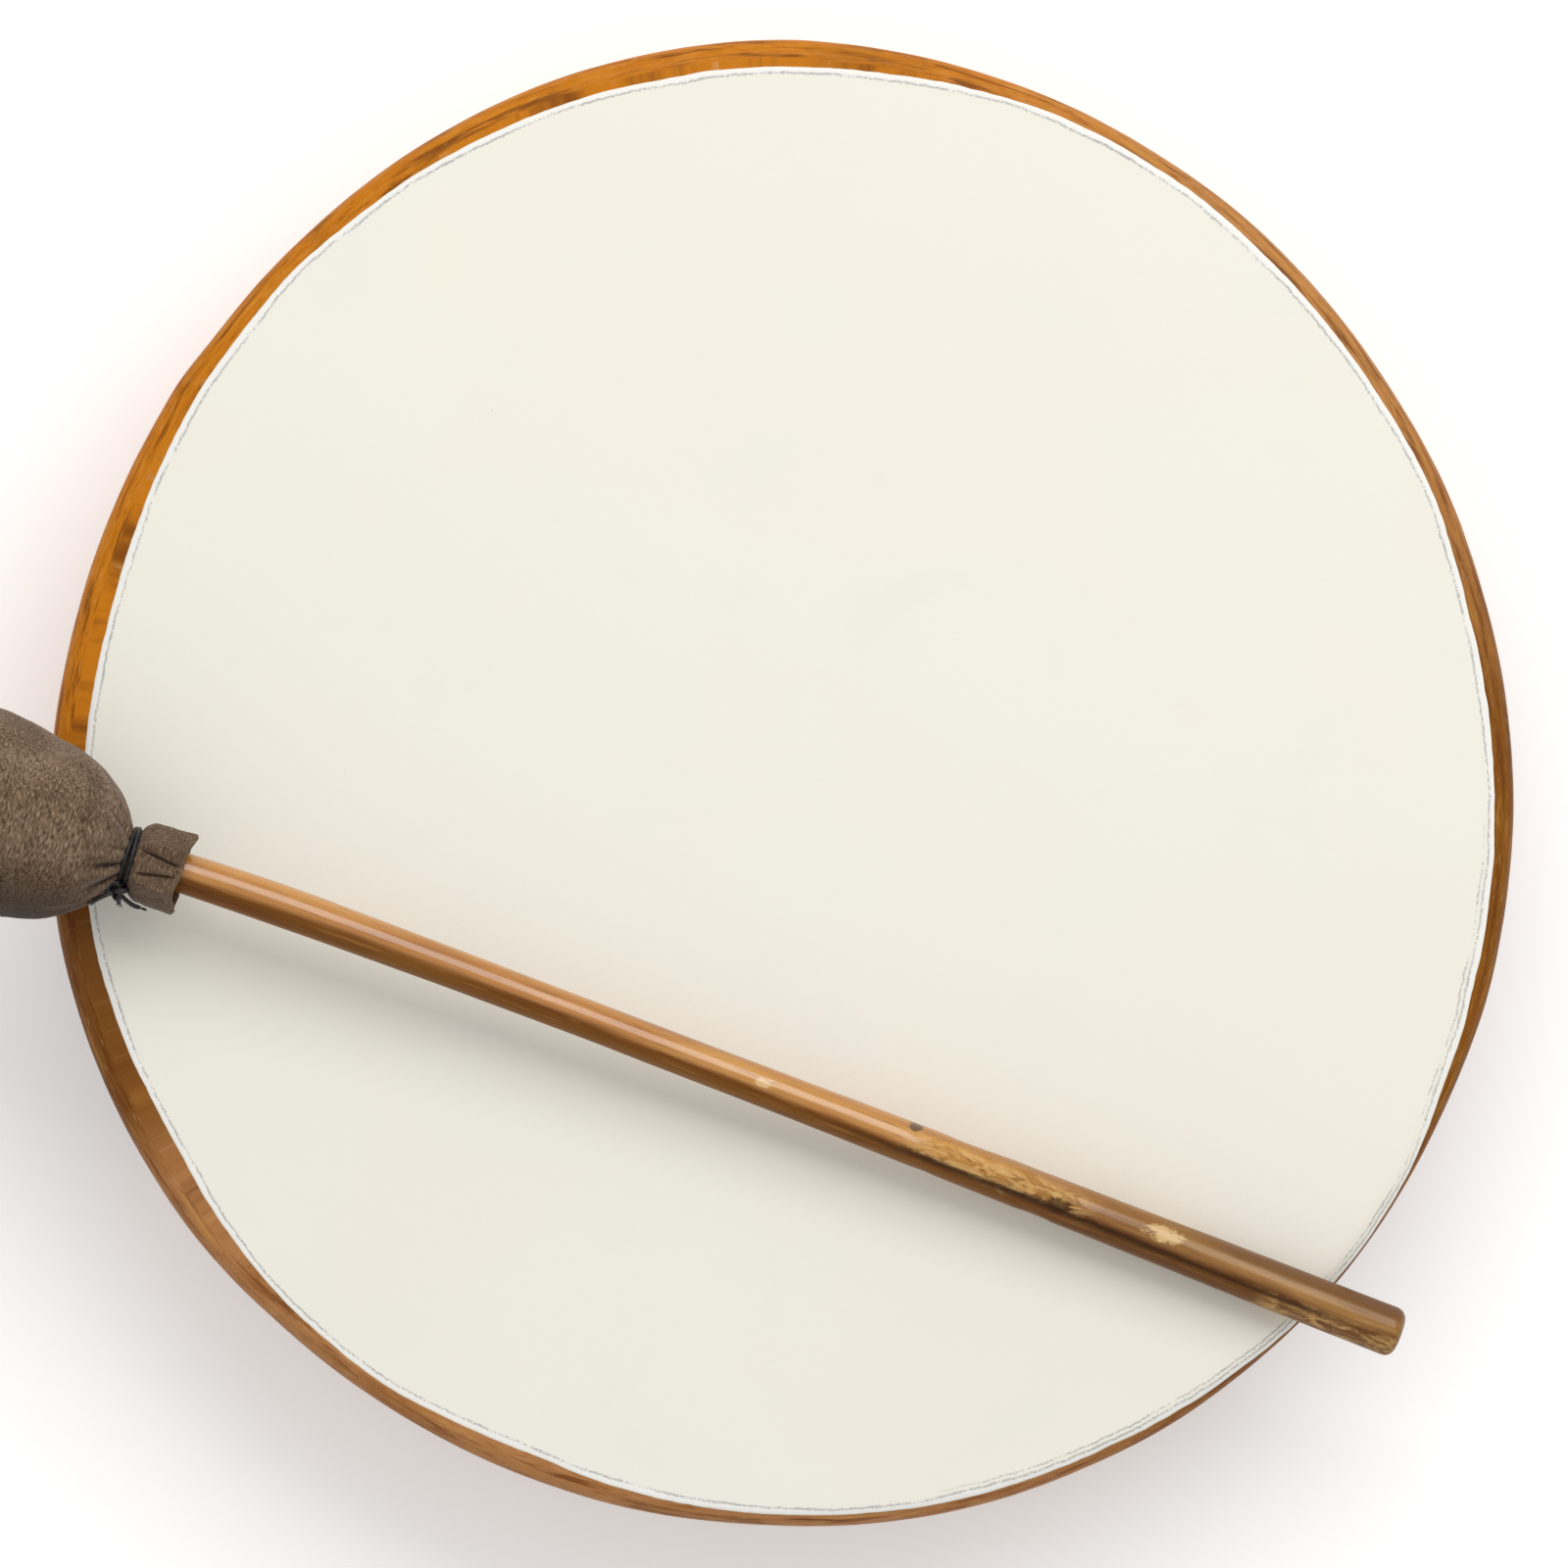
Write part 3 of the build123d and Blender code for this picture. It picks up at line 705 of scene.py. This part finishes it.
stick_bow[:shank_rows] = np.convolve(shank_bow, bend / bend.sum(), mode="valid")
end_in = np.clip(lengths - (stick_end - stick_ease), 0.0, None)
stick_r = stick_r - (stick_ease - np.sqrt(np.clip(stick_ease**2 - end_in**2, 0.0, None)))
stick_angle = np.linspace(0.0, 2.0 * pi, stick_around, endpoint=False)
ring_s = np.repeat(lengths[:, None], stick_around, axis=1)
ring_a = np.repeat(stick_angle[None], len(lengths), axis=0)
stick_grid = np.stack([ring_s, np.cos(ring_a) * 6.0, np.sin(ring_a) * 6.0], axis=-1)
uneven = 0.10 * mottle(stick_grid * (0.02, 0.08, 0.08), 1.0, 4.0)
uneven = uneven + 0.05 * mottle(stick_grid * 0.09, 1.0, 8.0)
knot_place, nick_place = 257.0, 227.0
knot_at = 0.55 * np.exp(-(((ring_s - knot_place) / 5.0) ** 2)) * np.clip(np.cos(ring_a - 1.1), 0.0, 1.0) ** 3
nick = -0.35 * np.exp(-(((ring_s - nick_place) / 1.4) ** 2)) * np.clip(np.cos(ring_a - 0.8), 0.0, 1.0) ** 6
bark_low, bark_high = radians(205.0), radians(262.0)
bark_start, bark_end = 338.0, 371.0
bark_across = smooth_step((ring_a - bark_low) / 0.12) * smooth_step((bark_high - ring_a) / 0.12)
ragged = 4.0 * mottle(stick_grid * (0.0, 0.3, 0.3), 1.0, 3.0)
bark_along = smooth_step((ring_s - bark_start - ragged) / 1.5) * smooth_step((bark_end - ring_s) / 1.5)
bark = 0.4 * bark_across * bark_along
peel = -0.22 * smooth_step((mottle(stick_grid * (0.07, 0.2, 0.2), 1.0, 11.0) - 0.1) / 0.12)
peel_start, peel_end = 226.0, 278.0
peel = peel * smooth_step((ring_s - peel_start) / 4.0) * smooth_step((peel_end - ring_s) / 5.0)
peel = peel * (np.sin(ring_a) > -0.3)
end_fade = np.clip(stick_r[:, None] / 5.0, 0.0, 1.0)
radius = stick_r[:, None] + (uneven + knot_at + nick + bark + peel) * end_fade
straight = turned(ring_s, radius, ring_a)
bowed = straight + np.array([0.0, 1.0, 0.0]) * stick_bow[:, None, None]
stick_hubs = ([stick_start, stations[0][2], 0.0], [stick_end, 0.0, 0.0])
stick_local, stick_faces = capped(bowed, *stick_hubs)
stick_marks = capped(straight, *stick_hubs)[0]

wood = Finish("varnished_branch", Coat_Roughness=0.14, Coat_IOR=1.75, Specular_IOR_Level=0.1)
stick_lay = wood.laid("lay")
stick_s, stick_across = wood.split(stick_lay)[:2]
long_grain = wood.cloud(wood.stretch(stick_lay, (10.0, 150.0, 150.0)), 1.0, 5.0, 0.6, 0.35)
fibre = wood.cloud(wood.stretch(stick_lay, (60.0, 1100.0, 1100.0)), 1.0, 4.0, 0.65)
knots = wood.cloud(wood.stretch(stick_lay, (55.0, 170.0, 170.0)), 1.0, 5.0, 0.65, 0.8)
crust = wood.cloud(wood.stretch(stick_lay, (120.0, 380.0, 380.0)), 1.0, 7.0, 0.72, 0.8)
near_colour = wood.ramp(
    long_grain, (0.3, tone(140, 82, 20)), (0.48, tone(186, 120, 40)), (0.7, tone(208, 148, 66))
)
far_colour = wood.ramp(
    long_grain, (0.3, tone(104, 60, 10)), (0.5, tone(146, 98, 42)), (0.7, tone(180, 134, 72))
)
far_share = wood.step(stick_s, 0.215, 0.3)
# painted shade: the flank of the stick turned away from the softbox is darkened in its colour, and its
# varnish coat is made thin there
painted_shade_side = wood.step(stick_across + long_grain * 0.003, 0.0018, -0.0002)
painted_shade_tone = wood.mix(tone(92, 46, 0), tone(150, 100, 44), wood.step(fibre, 0.52, 0.7))

# bark left in patches, with cracks, and a dark knot at the patch's far end
patch = wood.step(stick_s + knots * 0.03, 0.236, 0.25) * wood.step(stick_s - knots * 0.024, 0.274, 0.258)
patch_across = stick_across + knots * 0.006 + crust * 0.003
patch = patch * wood.step(patch_across, 0.0012, 0.0034) * wood.step(patch_across, 0.0098, 0.0072)
tail_patch = wood.step(stick_s + knots * 0.02, 0.338, 0.348) * wood.step(stick_across, -0.0008, -0.0024)
bare = patch.highest(tail_patch * 0.8)
cracks = wood.near(crust, 0.41, 0.03) * wood.step(knots, 0.42, 0.55)
knot_mark = wood.near(stick_s + crust * 0.012, 0.277, 0.006)
knot_mark = knot_mark * wood.near(stick_across + crust * 0.006, 0.0022, 0.0036)

# chips in the varnish, a nick, the long dark split and the worn far edge
ragged_s = stick_s + crust * 0.007
ragged_across = stick_across + crust * 0.005
chip = wood.near(ragged_s, 0.187, 0.0034) * wood.near(ragged_across, 0.0036, 0.002)
chip_far = wood.near(stick_s + crust * 0.016, 0.309, 0.0078)
chip_far = chip_far * wood.near(stick_across + crust * 0.009, 0.0068, 0.0034)
nick_mark = wood.near(ragged_s, 0.2305, 0.0026) * wood.near(ragged_across, 0.0076, 0.0018)
dark_split = wood.near(stick_across + long_grain * 0.003 + crust * 0.0012, -0.0002, 0.0013)
dark_split = dark_split * wood.step(stick_s, 0.19, 0.24) * wood.step(stick_s, 0.37, 0.34)
far_edge = wood.step(stick_s, 0.296, 0.325)
far_edge = far_edge * wood.step(stick_across + long_grain * 0.003, 0.0034, 0.0066)
wood_colour = wood.layered(
    near_colour,
    (far_colour, far_share),
    (tone(98, 58, 24), wood.step(fibre, 0.52, 0.74, 0.0, 0.55)),
    # painted shade on the flank away from the softbox
    (painted_shade_tone, painted_shade_side * wood.step(long_grain, 0.3, 0.6, 0.97, 0.75)),
    (tone(222, 178, 112), bare * wood.step(crust, 0.43, 0.6, 0.15, 0.9)),
    (tone(84, 46, 10), cracks * bare * 0.8),
    (tone(70, 36, 6), wood.step(knot_mark, 0.2, 0.5, 0.0, 0.85)),
    (tone(226, 190, 132), wood.step(chip + chip_far, 0.16, 0.5, 0.0, 0.85)),
    (tone(70, 36, 6), wood.step(nick_mark, 0.1, 0.4, 0.0, 0.85)),
    (tone(58, 30, 2), dark_split * 0.9),
    (tone(92, 50, 8), far_edge * 0.75),
    (tone(150, 112, 62), wood.step(stick_s, 0.3698, 0.3716, 0.0, 0.6)),
)
wood.feed("Base Color", wood_colour)
# the varnish coat is thin on the bare patches, the far end and the painted-shade flank
dull = (far_share * 0.6).highest(bare).highest(painted_shade_side * 0.85)
wood.feed("Coat Weight", wood.step(dull, 0.0, 1.0, 1.0, 0.05))
wood.feed("Roughness", wood.step(fibre, 0.3, 0.7, 0.32, 0.5))
wood.bump(long_grain, 0.0005, 0.35)
wood.bump(fibre, 0.00018, 0.5)
wood.bump(crust * bare, 0.0009, 0.7)
stick_shape = placed(stick_local, stick_heading)
stick = grown(
    "varnished_stick", stick_shape, stick_faces, "beater", wood, {"lay": stick_marks}
)
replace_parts(stick, "beater_stick")

# ---- head padding: carded wool packed round the stick's end, bound down with cord ----
# Both are out of sight inside the cover, and give the head its firm, full shape. The
# binding sinks into the wool in three places.
head_stations = (
    (-2.9, 10.2), (-12.0, 19.9), (-28.0, 25.8), (-44.0, 28.3), (-59.0, 25.8), (-70.0, 18.6), (-77.0, 8.8),
    (-79.0, 0.0),
)


def flowing(marks, first_way, last_way, count):
    """A smooth line through marks, with that many points to a span, leaving and arriving as told."""
    marks = np.array(marks)
    spans = np.linalg.norm(np.diff(marks, axis=0), axis=1)
    ways = [first_way]
    for index in range(1, len(marks) - 1):
        before = (marks[index] - marks[index - 1]) / spans[index - 1]
        after = (marks[index + 1] - marks[index]) / spans[index]
        ways.append((before * spans[index] + after * spans[index - 1]) / (spans[index] + spans[index - 1]))
    ways.append(last_way)
    line = []
    for index, span in enumerate(spans):
        for step in range(count):
            t = step / count
            weights = (2 * t**3 - 3 * t**2 + 1, t**3 - 2 * t**2 + t, 3 * t**2 - 2 * t**3, t**3 - t**2)
            line.append(
                weights[0] * marks[index] + weights[1] * span * ways[index]
                + weights[2] * marks[index + 1] + weights[3] * span * ways[index + 1]
            )
    return np.array(line)


shoulder_way = np.array([-0.53, 0.85])
nose_way = np.array([0.0, -1.0])
head_line = flowing(head_stations, shoulder_way, nose_way, 12)


wool = Finish("raw_wool", Roughness=0.95, Sheen_Weight=0.4, Sheen_Roughness=0.6)
wool_cloud = wool.cloud(wool.place(), 240.0, 6.0, 0.7, 1.2)
wool.feed("Base Color", wool.mix(tone(222, 212, 190), tone(178, 164, 138), wool.step(wool_cloud, 0.4, 0.7)))
wool.bump(wool_cloud, 0.0012, 0.8)
twine = Finish("binding_twine", Roughness=0.85)
twine_cloud = twine.cloud(twine.place(), 900.0, 4.0, 0.7)
twine_dark = twine.step(twine_cloud, 0.4, 0.7)
twine.feed("Base Color", twine.mix(tone(190, 170, 132), tone(126, 106, 74), twine_dark))
twine.bump(twine_cloud, 0.0004, 0.8)
wool_line = head_line[::-1]
wool_around = 120
wool_turn = np.linspace(0.0, 2.0 * pi, wool_around, endpoint=False)
wool_angle = np.repeat(wool_turn[None], len(wool_line), axis=0)
wool_s = np.repeat(wool_line[:, :1], wool_around, axis=1)
wool_inset = 3.6
wool_r = np.maximum(np.repeat(wool_line[:, 1:], wool_around, axis=1) - wool_inset, 0.4)
binding_at = (-20.0, -36.0, -52.0)
for place in binding_at:
    wool_r = wool_r - 0.9 * np.exp(-(((wool_s - place) / 2.2) ** 2))
wool_unit = turned(wool_s, wool_r, wool_angle) / 10.0
wool_r = wool_r + 0.35 * mottle(wool_unit, 1.0, 3.0) * np.clip(wool_r / 6.0, 0.0, 1.0)
wool_s = np.clip(wool_s, -76.0, -4.0)
wool_grid = turned(wool_s, wool_r, wool_angle)
wool_points, wool_faces = capped(wool_grid, [-76.0, 0.0, 0.0], [-4.0, 0.0, 0.0])
wool_shape = placed(wool_points, head_heading)
padding = grown("wool_padding", wool_shape, wool_faces, "beater", wool)
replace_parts(padding, "head_padding")


def tube(path, radius, around, twist=0.0, ply=0.0):
    """Points and faces of a cord along a path, its plies laid round it, with closed ends."""
    path = np.array(path)
    steps = np.gradient(path, axis=0)
    steps = steps / np.linalg.norm(steps, axis=1, keepdims=True)
    side = np.cross(steps[0], [0.31, 0.52, 0.79])
    points = []
    run = 0.0
    for index, (spot, ahead) in enumerate(zip(path, steps)):
        side = side - ahead * side.dot(ahead)
        side = side / np.linalg.norm(side)
        up = np.cross(ahead, side)
        if index:
            run += np.linalg.norm(spot - path[index - 1])
        from_end = min(index, len(path) - 1 - index, 2)
        thin = radius * (0.35, 0.8, 1.0)[from_end]
        for step in range(around):
            angle = 2.0 * pi * step / around
            grow = thin * (1.0 + ply * (abs(cos(1.5 * angle + twist * run)) - 0.6))
            points.append(spot + side * (grow * cos(angle)) + up * (grow * sin(angle)))
    faces = rings(len(path), around)
    last = (len(path) - 1) * around
    faces.append(tuple(range(around)))
    faces.append(tuple(last + index for index in reversed(range(around))))
    return points, faces


def gathered_tubes(parts):
    """Several cords as one piece, in metres."""
    points, faces = [], []
    for some_points, some_faces in parts:
        start = len(points)
        points += list(some_points)
        faces += [tuple(start + corner for corner in face) for face in some_faces]
    return np.array(points) * millimetre, faces


bindings = []
for place in binding_at:
    sunk = np.interp(place, wool_line[:, 0], wool_line[:, 1]) - wool_inset - 0.8
    coil = []
    for share in np.linspace(0.0, 1.0, 150):
        angle = radians(700.0) * share
        coil.append((place - 1.0 + 2.0 * share, sunk * cos(angle), sunk * sin(angle)))
    bindings.append(tube(coil, 0.9, 12, 2.2, 0.16))
binding_points, binding_faces = gathered_tubes(bindings)
binding_shape = placed(binding_points, head_heading)
binding = grown("wool_binding", binding_shape, binding_faces, "beater", twine)
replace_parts(binding, "padding_binding")

# ---- head cover: one piece of dark brown suede drawn over the padding ----
# The cord at the neck gathers it, so sharp creases run up the head from the tie and soon
# die out. Its cut edge stands out beyond the cord as a short stiff skirt with flat folds.
suede_around = 360
skirt_rows = (
    (-1.5, 8.0), (-0.9, 7.35), (-0.2, 7.05), (0.5, 7.05), (1.1, 7.5), (1.6, 8.6), (2.2, 9.5), (3.0, 10.1),
    (4.0, 10.5), (5.2, 10.7), (6.4, 10.8), (7.6, 10.9), (8.8, 11.0), (10.0, 11.0), (11.2, 11.1),
    (12.4, 11.1), (13.4, 11.2), (14.3, 11.2), (15.0, 11.2),
)
outer_rows = np.vstack([head_line[::-1], skirt_rows])
cover_angle = np.linspace(0.0, 2.0 * pi, suede_around, endpoint=False)
cover_s = np.repeat(outer_rows[:, :1], suede_around, axis=1)
cover_r = np.repeat(outer_rows[:, 1:], suede_around, axis=1)
cover_a = np.repeat(cover_angle[None], len(outer_rows), axis=0)

random.seed(5)
pleat_centres = []
pleat_at = 0.1
while pleat_at < 2.0 * pi:
    pleat_centres.append(pleat_at)
    pleat_at += random.uniform(0.22, 0.5)
pleats = np.zeros(cover_s.shape)
for centre in pleat_centres:
    reach = random.uniform(9.0, 26.0)
    depth = random.uniform(0.9, 2.1)
    lean = random.uniform(-0.3, 0.3)
    width = random.uniform(0.05, 0.1)
    fade = np.clip(1.0 + (cover_s + 2.0) / reach, 0.0, 1.0) ** 1.3 * smooth_step(-cover_s / 2.5)
    drift = centre + lean * np.clip(-cover_s / 20.0, 0.0, 1.5)
    off = (cover_a - drift + pi) % (2.0 * pi) - pi
    spread = width * (1.0 + np.clip(-cover_s / 18.0, 0.0, 2.0))
    pleats = pleats + fade * (0.45 * depth * np.exp(-(((np.abs(off) - 1.7 * spread) / spread) ** 2)))
    pleats = pleats - fade * depth * np.exp(-((off / spread) ** 2))
pleats = pleats * np.clip(cover_r / 16.0, 0.4, 1.0)
neck_gather = 0.3 * np.cos(17 * cover_a + 1.3 * np.sin(3 * cover_a)) * np.exp(-((cover_s / 3.5) ** 2))
unit = turned(cover_s, cover_r, cover_a) / 20.0
slack = 0.5 * mottle(unit, 1.0, 6.0) + 0.3 * mottle(unit, 3.2, 2.0) + 0.1 * mottle(unit, 9.0, 1.0)
slack = slack * smooth_step((-cover_s - 2.0) / 10.0) * smooth_step(cover_r / 6.0)

# flat folds between sharp corners, each given as a direction round the skirt and its radius
skirt_corners = (
    (12.0, 1.06), (60.0, 1.07), (71.0, 0.93), (110.0, 0.96), (122.0, 1.1), (164.0, 1.0), (196.0, 1.1),
    (248.0, 1.0), (258.0, 1.12), (302.0, 0.95), (334.0, 1.08), (372.0, 1.06),
)
corner_spots = [Vector((r * cos(radians(a)), r * sin(radians(a)))) for a, r in skirt_corners]
flat = np.zeros(suede_around)
for index, angle in enumerate(cover_angle):
    out = Vector((cos(angle), sin(angle)))
    heading = degrees(angle) if degrees(angle) >= skirt_corners[0][0] else degrees(angle) + 360.0
    for side in range(len(skirt_corners) - 1):
        if skirt_corners[side][0] <= heading <= skirt_corners[side + 1][0]:
            edge = corner_spots[side + 1] - corner_spots[side]
            flat[index] = corner_spots[side].cross(edge) / out.cross(edge)
skirt_share = smooth_step((cover_s - 0.8) / 4.0)
crumple = 0.35 * mottle(unit, 5.0, 12.0) + 0.2 * mottle(unit, 14.0, 3.0)
fold_lines = np.zeros(cover_s.shape)
for at, slant in ((68.0, 0.9), (114.0, -1.1), (252.0, 0.6), (312.0, -0.8)):
    off = np.degrees(cover_a) - at - slant * cover_s
    fold_depth = np.exp(-((off / 3.2) ** 2)) * skirt_share * smooth_step((15.5 - cover_s) / 3.0)
    fold_lines = fold_lines + fold_depth
folds = np.clip(-pleats / 1.1, 0.0, 1.0) + fold_lines
pleats = pleats - 0.7 * fold_lines
cover_r = cover_r * (1.0 + (flat[None] - 1.0) * skirt_share)
cover_r = cover_r + pleats + neck_gather + slack + crumple * skirt_share
cover_r = np.where(cover_s > -2.5, np.maximum(cover_r, 6.9), cover_r)
uneven_edge = 0.7 * np.sin(2 * cover_a + 1.0) + 0.4 * np.sin(5 * cover_a)
uneven_edge = uneven_edge + 0.25 * mottle(unit, 9.0, 30.0)
cover_s = cover_s + uneven_edge * smooth_step((cover_s - 6.0) / 8.0)

skirt_thickness = 1.05
gather_thickness = 2.5
neck_start = -1.6
stick_clear = 5.9
lining_r = np.where(cover_s > neck_start, cover_r - skirt_thickness, outer_rows[:, 1:] - gather_thickness)
lining_r = np.where(cover_s > neck_start, np.maximum(lining_r, stick_clear), np.maximum(lining_r, 0.4))
lining_end = -76.4
lining_s = np.clip(cover_s, lining_end, None)
cover_grid = turned(cover_s, cover_r, cover_a)
lining_grid = turned(lining_s, lining_r, cover_a)[::-1]
hem = (cover_grid[-1:] + lining_grid[:1]) / 2.0 + np.array([0.3, 0.0, 0.0])
cover_all = np.concatenate([cover_grid[1:], hem, lining_grid])
cover_local, cover_faces = capped(cover_all, [head_stations[-1][0], 0.0, 0.0], [lining_end, 0.0, 0.0])
# the crease depths, carried to the finish for the painted shade in them
crease_shade_marks = np.zeros(cover_local.shape)
crease_shade_marks[: (len(folds) - 1) * suede_around, 0] = folds[1:].ravel()

suede = Finish("brown_suede", Specular_IOR_Level=0.15, Sheen_Weight=0.15, Sheen_Roughness=0.45)
hide_spot = suede.laid("lay")
brush_lie = {"Vector": hide_spot, "Rotation": (0.3, 0.5, 0.7), "Scale": (1.0, 0.32, 1.0)}
brushed = suede.add("Mapping", inputs=brush_lie)
nap_wide = suede.cloud(hide_spot, 55.0, 4.0, 0.6, 0.7)
nap = suede.cloud(brushed, 1700.0, 3.0, 0.6)
nap_fine = suede.cloud(brushed, 3200.0, 2.0, 0.7)
hide_s, hide_across = suede.split(hide_spot)[:2]
painted_crease_shade = suede.split(suede.laid("fold"))[0]
suede_colour = suede.layered(
    suede.ramp(nap_wide, (0.3, tone(98, 77, 58)), (0.5, tone(120, 97, 76)), (0.7, tone(140, 117, 95))),
    (tone(52, 36, 24), suede.step(nap, 0.48, 0.66, 0.0, 0.75)),
    (tone(186, 162, 136), suede.step(nap, 0.46, 0.3, 0.0, 0.55)),
    (tone(60, 44, 30), suede.step(nap_fine, 0.55, 0.75, 0.0, 0.6)),
    (tone(84, 64, 48), suede.step(hide_s, 0.0, 0.004, 0.0, 0.35)),
    # painted shade: the head grows darker towards its flank turned away from the softbox
    (tone(44, 30, 18), suede.step(hide_across, -0.004, -0.024, 0.0, 0.8)),
    # painted shade in the creases of the folds
    (tone(26, 17, 10), suede.step(painted_crease_shade, 0.25, 1.0, 0.0, 0.9)),
)
suede.feed("Base Color", suede_colour)
suede.feed("Roughness", suede.step(nap, 0.3, 0.7, 0.82, 0.96))
suede.bump(nap_wide, 0.0008, 0.3)
suede.bump(nap, 0.0004, 0.7)
cover_marks = {"lay": cover_local, "fold": crease_shade_marks}
cover_shape = placed(cover_local, head_heading)
cover = grown("suede_cover", cover_shape, cover_faces, "beater", suede, cover_marks)
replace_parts(cover, "head_cover")

# ---- tie: black waxed cord wound tight round the cover's neck, and knotted ----
# The turns are uneven and cross each other. The knot sits at one side of the stick, its
# two ends cut short and frayed.
wax = Finish("black_waxed_cord", Roughness=0.42, Specular_IOR_Level=0.5)
wax_cloud = wax.cloud(wax.place(), 700.0, 4.0, 0.7)
wax.feed("Base Color", wax.mix(tone(16, 15, 15), tone(48, 44, 40), wax.step(wax_cloud, 0.45, 0.75)))
wax.feed("Roughness", wax.step(wax_cloud, 0.3, 0.7, 0.34, 0.6))
wax.bump(wax_cloud, 0.0003, 0.6)
winding_path = []
for step in range(300):
    angle = 2.0 * pi * 3.2 * step / 299.0 - pi / 2.0
    across = 0.75 * sin(angle * 0.5 + 0.7) + 0.25 * sin(angle * 1.31)
    layer = 7.75 + 0.7 * smooth_step(np.array((step - 190) / 40.0)) + 0.12 * sin(angle * 0.77)
    winding_path.append((across, layer * cos(angle), layer * sin(angle)))
cord_points, cord_faces = gathered_tubes([tube(winding_path, 0.68, 12, 2.6, 0.18)])
tie = grown("tie_winding", placed(cord_points, head_heading), cord_faces, "beater", wax)
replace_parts(tie, "tie_cord")

knot_path = []
for step in range(150):
    angle = 2.0 * pi * step / 149.0 * 0.98
    x = 0.92 * (sin(angle) + 2.0 * sin(2.0 * angle))
    y = 0.92 * (cos(angle) - 2.0 * cos(2.0 * angle))
    z = -1.1 * sin(3.0 * angle)
    knot_path.append((x - 0.6, -9.6 + 0.62 * y - 0.8 * z, 4.4 + 0.75 * y + 0.55 * z))
knot_parts = [tube(knot_path, 0.8, 12, 2.6, 0.18)]
tails = (
    ((0.4, -10.2, 4.0), (2.6, -11.4, 3.2), (5.0, -12.2, 2.0), (7.2, -12.3, 1.6)),
    ((-1.2, -10.0, 4.6), (-3.0, -11.6, 5.4), (-4.8, -13.2, 5.6), (-6.0, -14.6, 5.2)),
    ((-0.4, -10.6, 3.4), (0.6, -12.0, 2.2), (1.0, -13.0, 0.6)),
)
for marks in tails:
    ends = [np.array(marks[1]) - marks[0], np.array(marks[-1]) - marks[-2]]
    ends = [end / np.linalg.norm(end) for end in ends]
    tail = flowing(marks, ends[0], ends[1], 9)
    knot_parts.append(tube(tail, 0.62, 10, 2.6, 0.16))
    for strand in range(8):
        splay = 2.0 * pi * strand / 8.0
        spread = np.array((cos(splay), 0.4 * sin(splay), sin(splay)))
        fray = []
        for step in range(6):
            out = step / 5.0
            fray.append(tail[-1] + ends[1] * out * random.uniform(1.1, 1.4) + spread * (0.3 + 0.6 * out))
        knot_parts.append(tube(fray, 0.12, 6))
knot_points, knot_faces = gathered_tubes(knot_parts)
knot = grown("tie_knot_and_ends", placed(knot_points, head_heading), knot_faces, "beater", wax)
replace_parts(knot, "tie_knot")

# ---- floor, light and camera: a white floor under one large soft light and a pale sky ----
# The light stands high, behind the far side of the drum and in line with the stick, so the
# stick carries one long soft highlight. The camera looks straight down on the face.
paper = Finish("white_paper", Roughness=0.8)
paper_cloud = paper.cloud(paper.place(), 8.0, 3.0)
paper.feed("Base Color", paper.mix(tone(253, 253, 253), tone(255, 255, 255), paper_cloud))
seen = paper.add("LightPath", output="Is Camera Ray")
paper.feed("Emission Color", paper.mix((0.0, 0.0, 0.0), (1.0, 1.0, 1.0), seen))
paper.shader.inputs["Emission Strength"].default_value = 0.22
bpy.ops.mesh.primitive_plane_add(size=30.0, location=(0.0, 0.0, -0.0008))
floor = bpy.context.object
floor.name = "floor"
floor.data.materials.append(paper.material)

world = bpy.data.worlds.new("pale_sky")
bpy.context.scene.world = world
world.use_nodes = True
sky = world.node_tree
backdrop = sky.nodes["Background"]
backdrop.inputs["Color"].default_value = (1.0, 1.0, 1.0, 1.0)
backdrop.inputs["Strength"].default_value = 0.6

key_data = bpy.data.lights.new("softbox", "AREA")
key_data.shape = "RECTANGLE"
key_data.size = 2.6
key_data.size_y = 1.5
key_data.energy = 30.0
key = bpy.data.objects.new("softbox", key_data)
bpy.context.scene.collection.objects.link(key)
key_tilt = radians(38.0)
key_from = Vector((0.35, 0.93, 0.0)).normalized() * sin(key_tilt) + Vector((0.0, 0.0, cos(key_tilt)))
key.location = key_from * 2.4
key_along = Vector((cos(stick_heading), sin(stick_heading), 0.0))
key_turn = Matrix((key_along, key_from.cross(key_along), key_from)).transposed()
key.rotation_euler = key_turn.to_euler()

camera_data = bpy.data.cameras.new("camera")
camera_data.lens = 216.8
camera_data.sensor_width = 36.0
camera = bpy.data.objects.new("camera", camera_data)
camera_height = 2.67
camera.location = (0.0002, 0.0015, camera_height)
bpy.context.scene.collection.objects.link(camera)
bpy.context.scene.camera = camera
bpy.context.scene.view_settings.view_transform = "Standard"
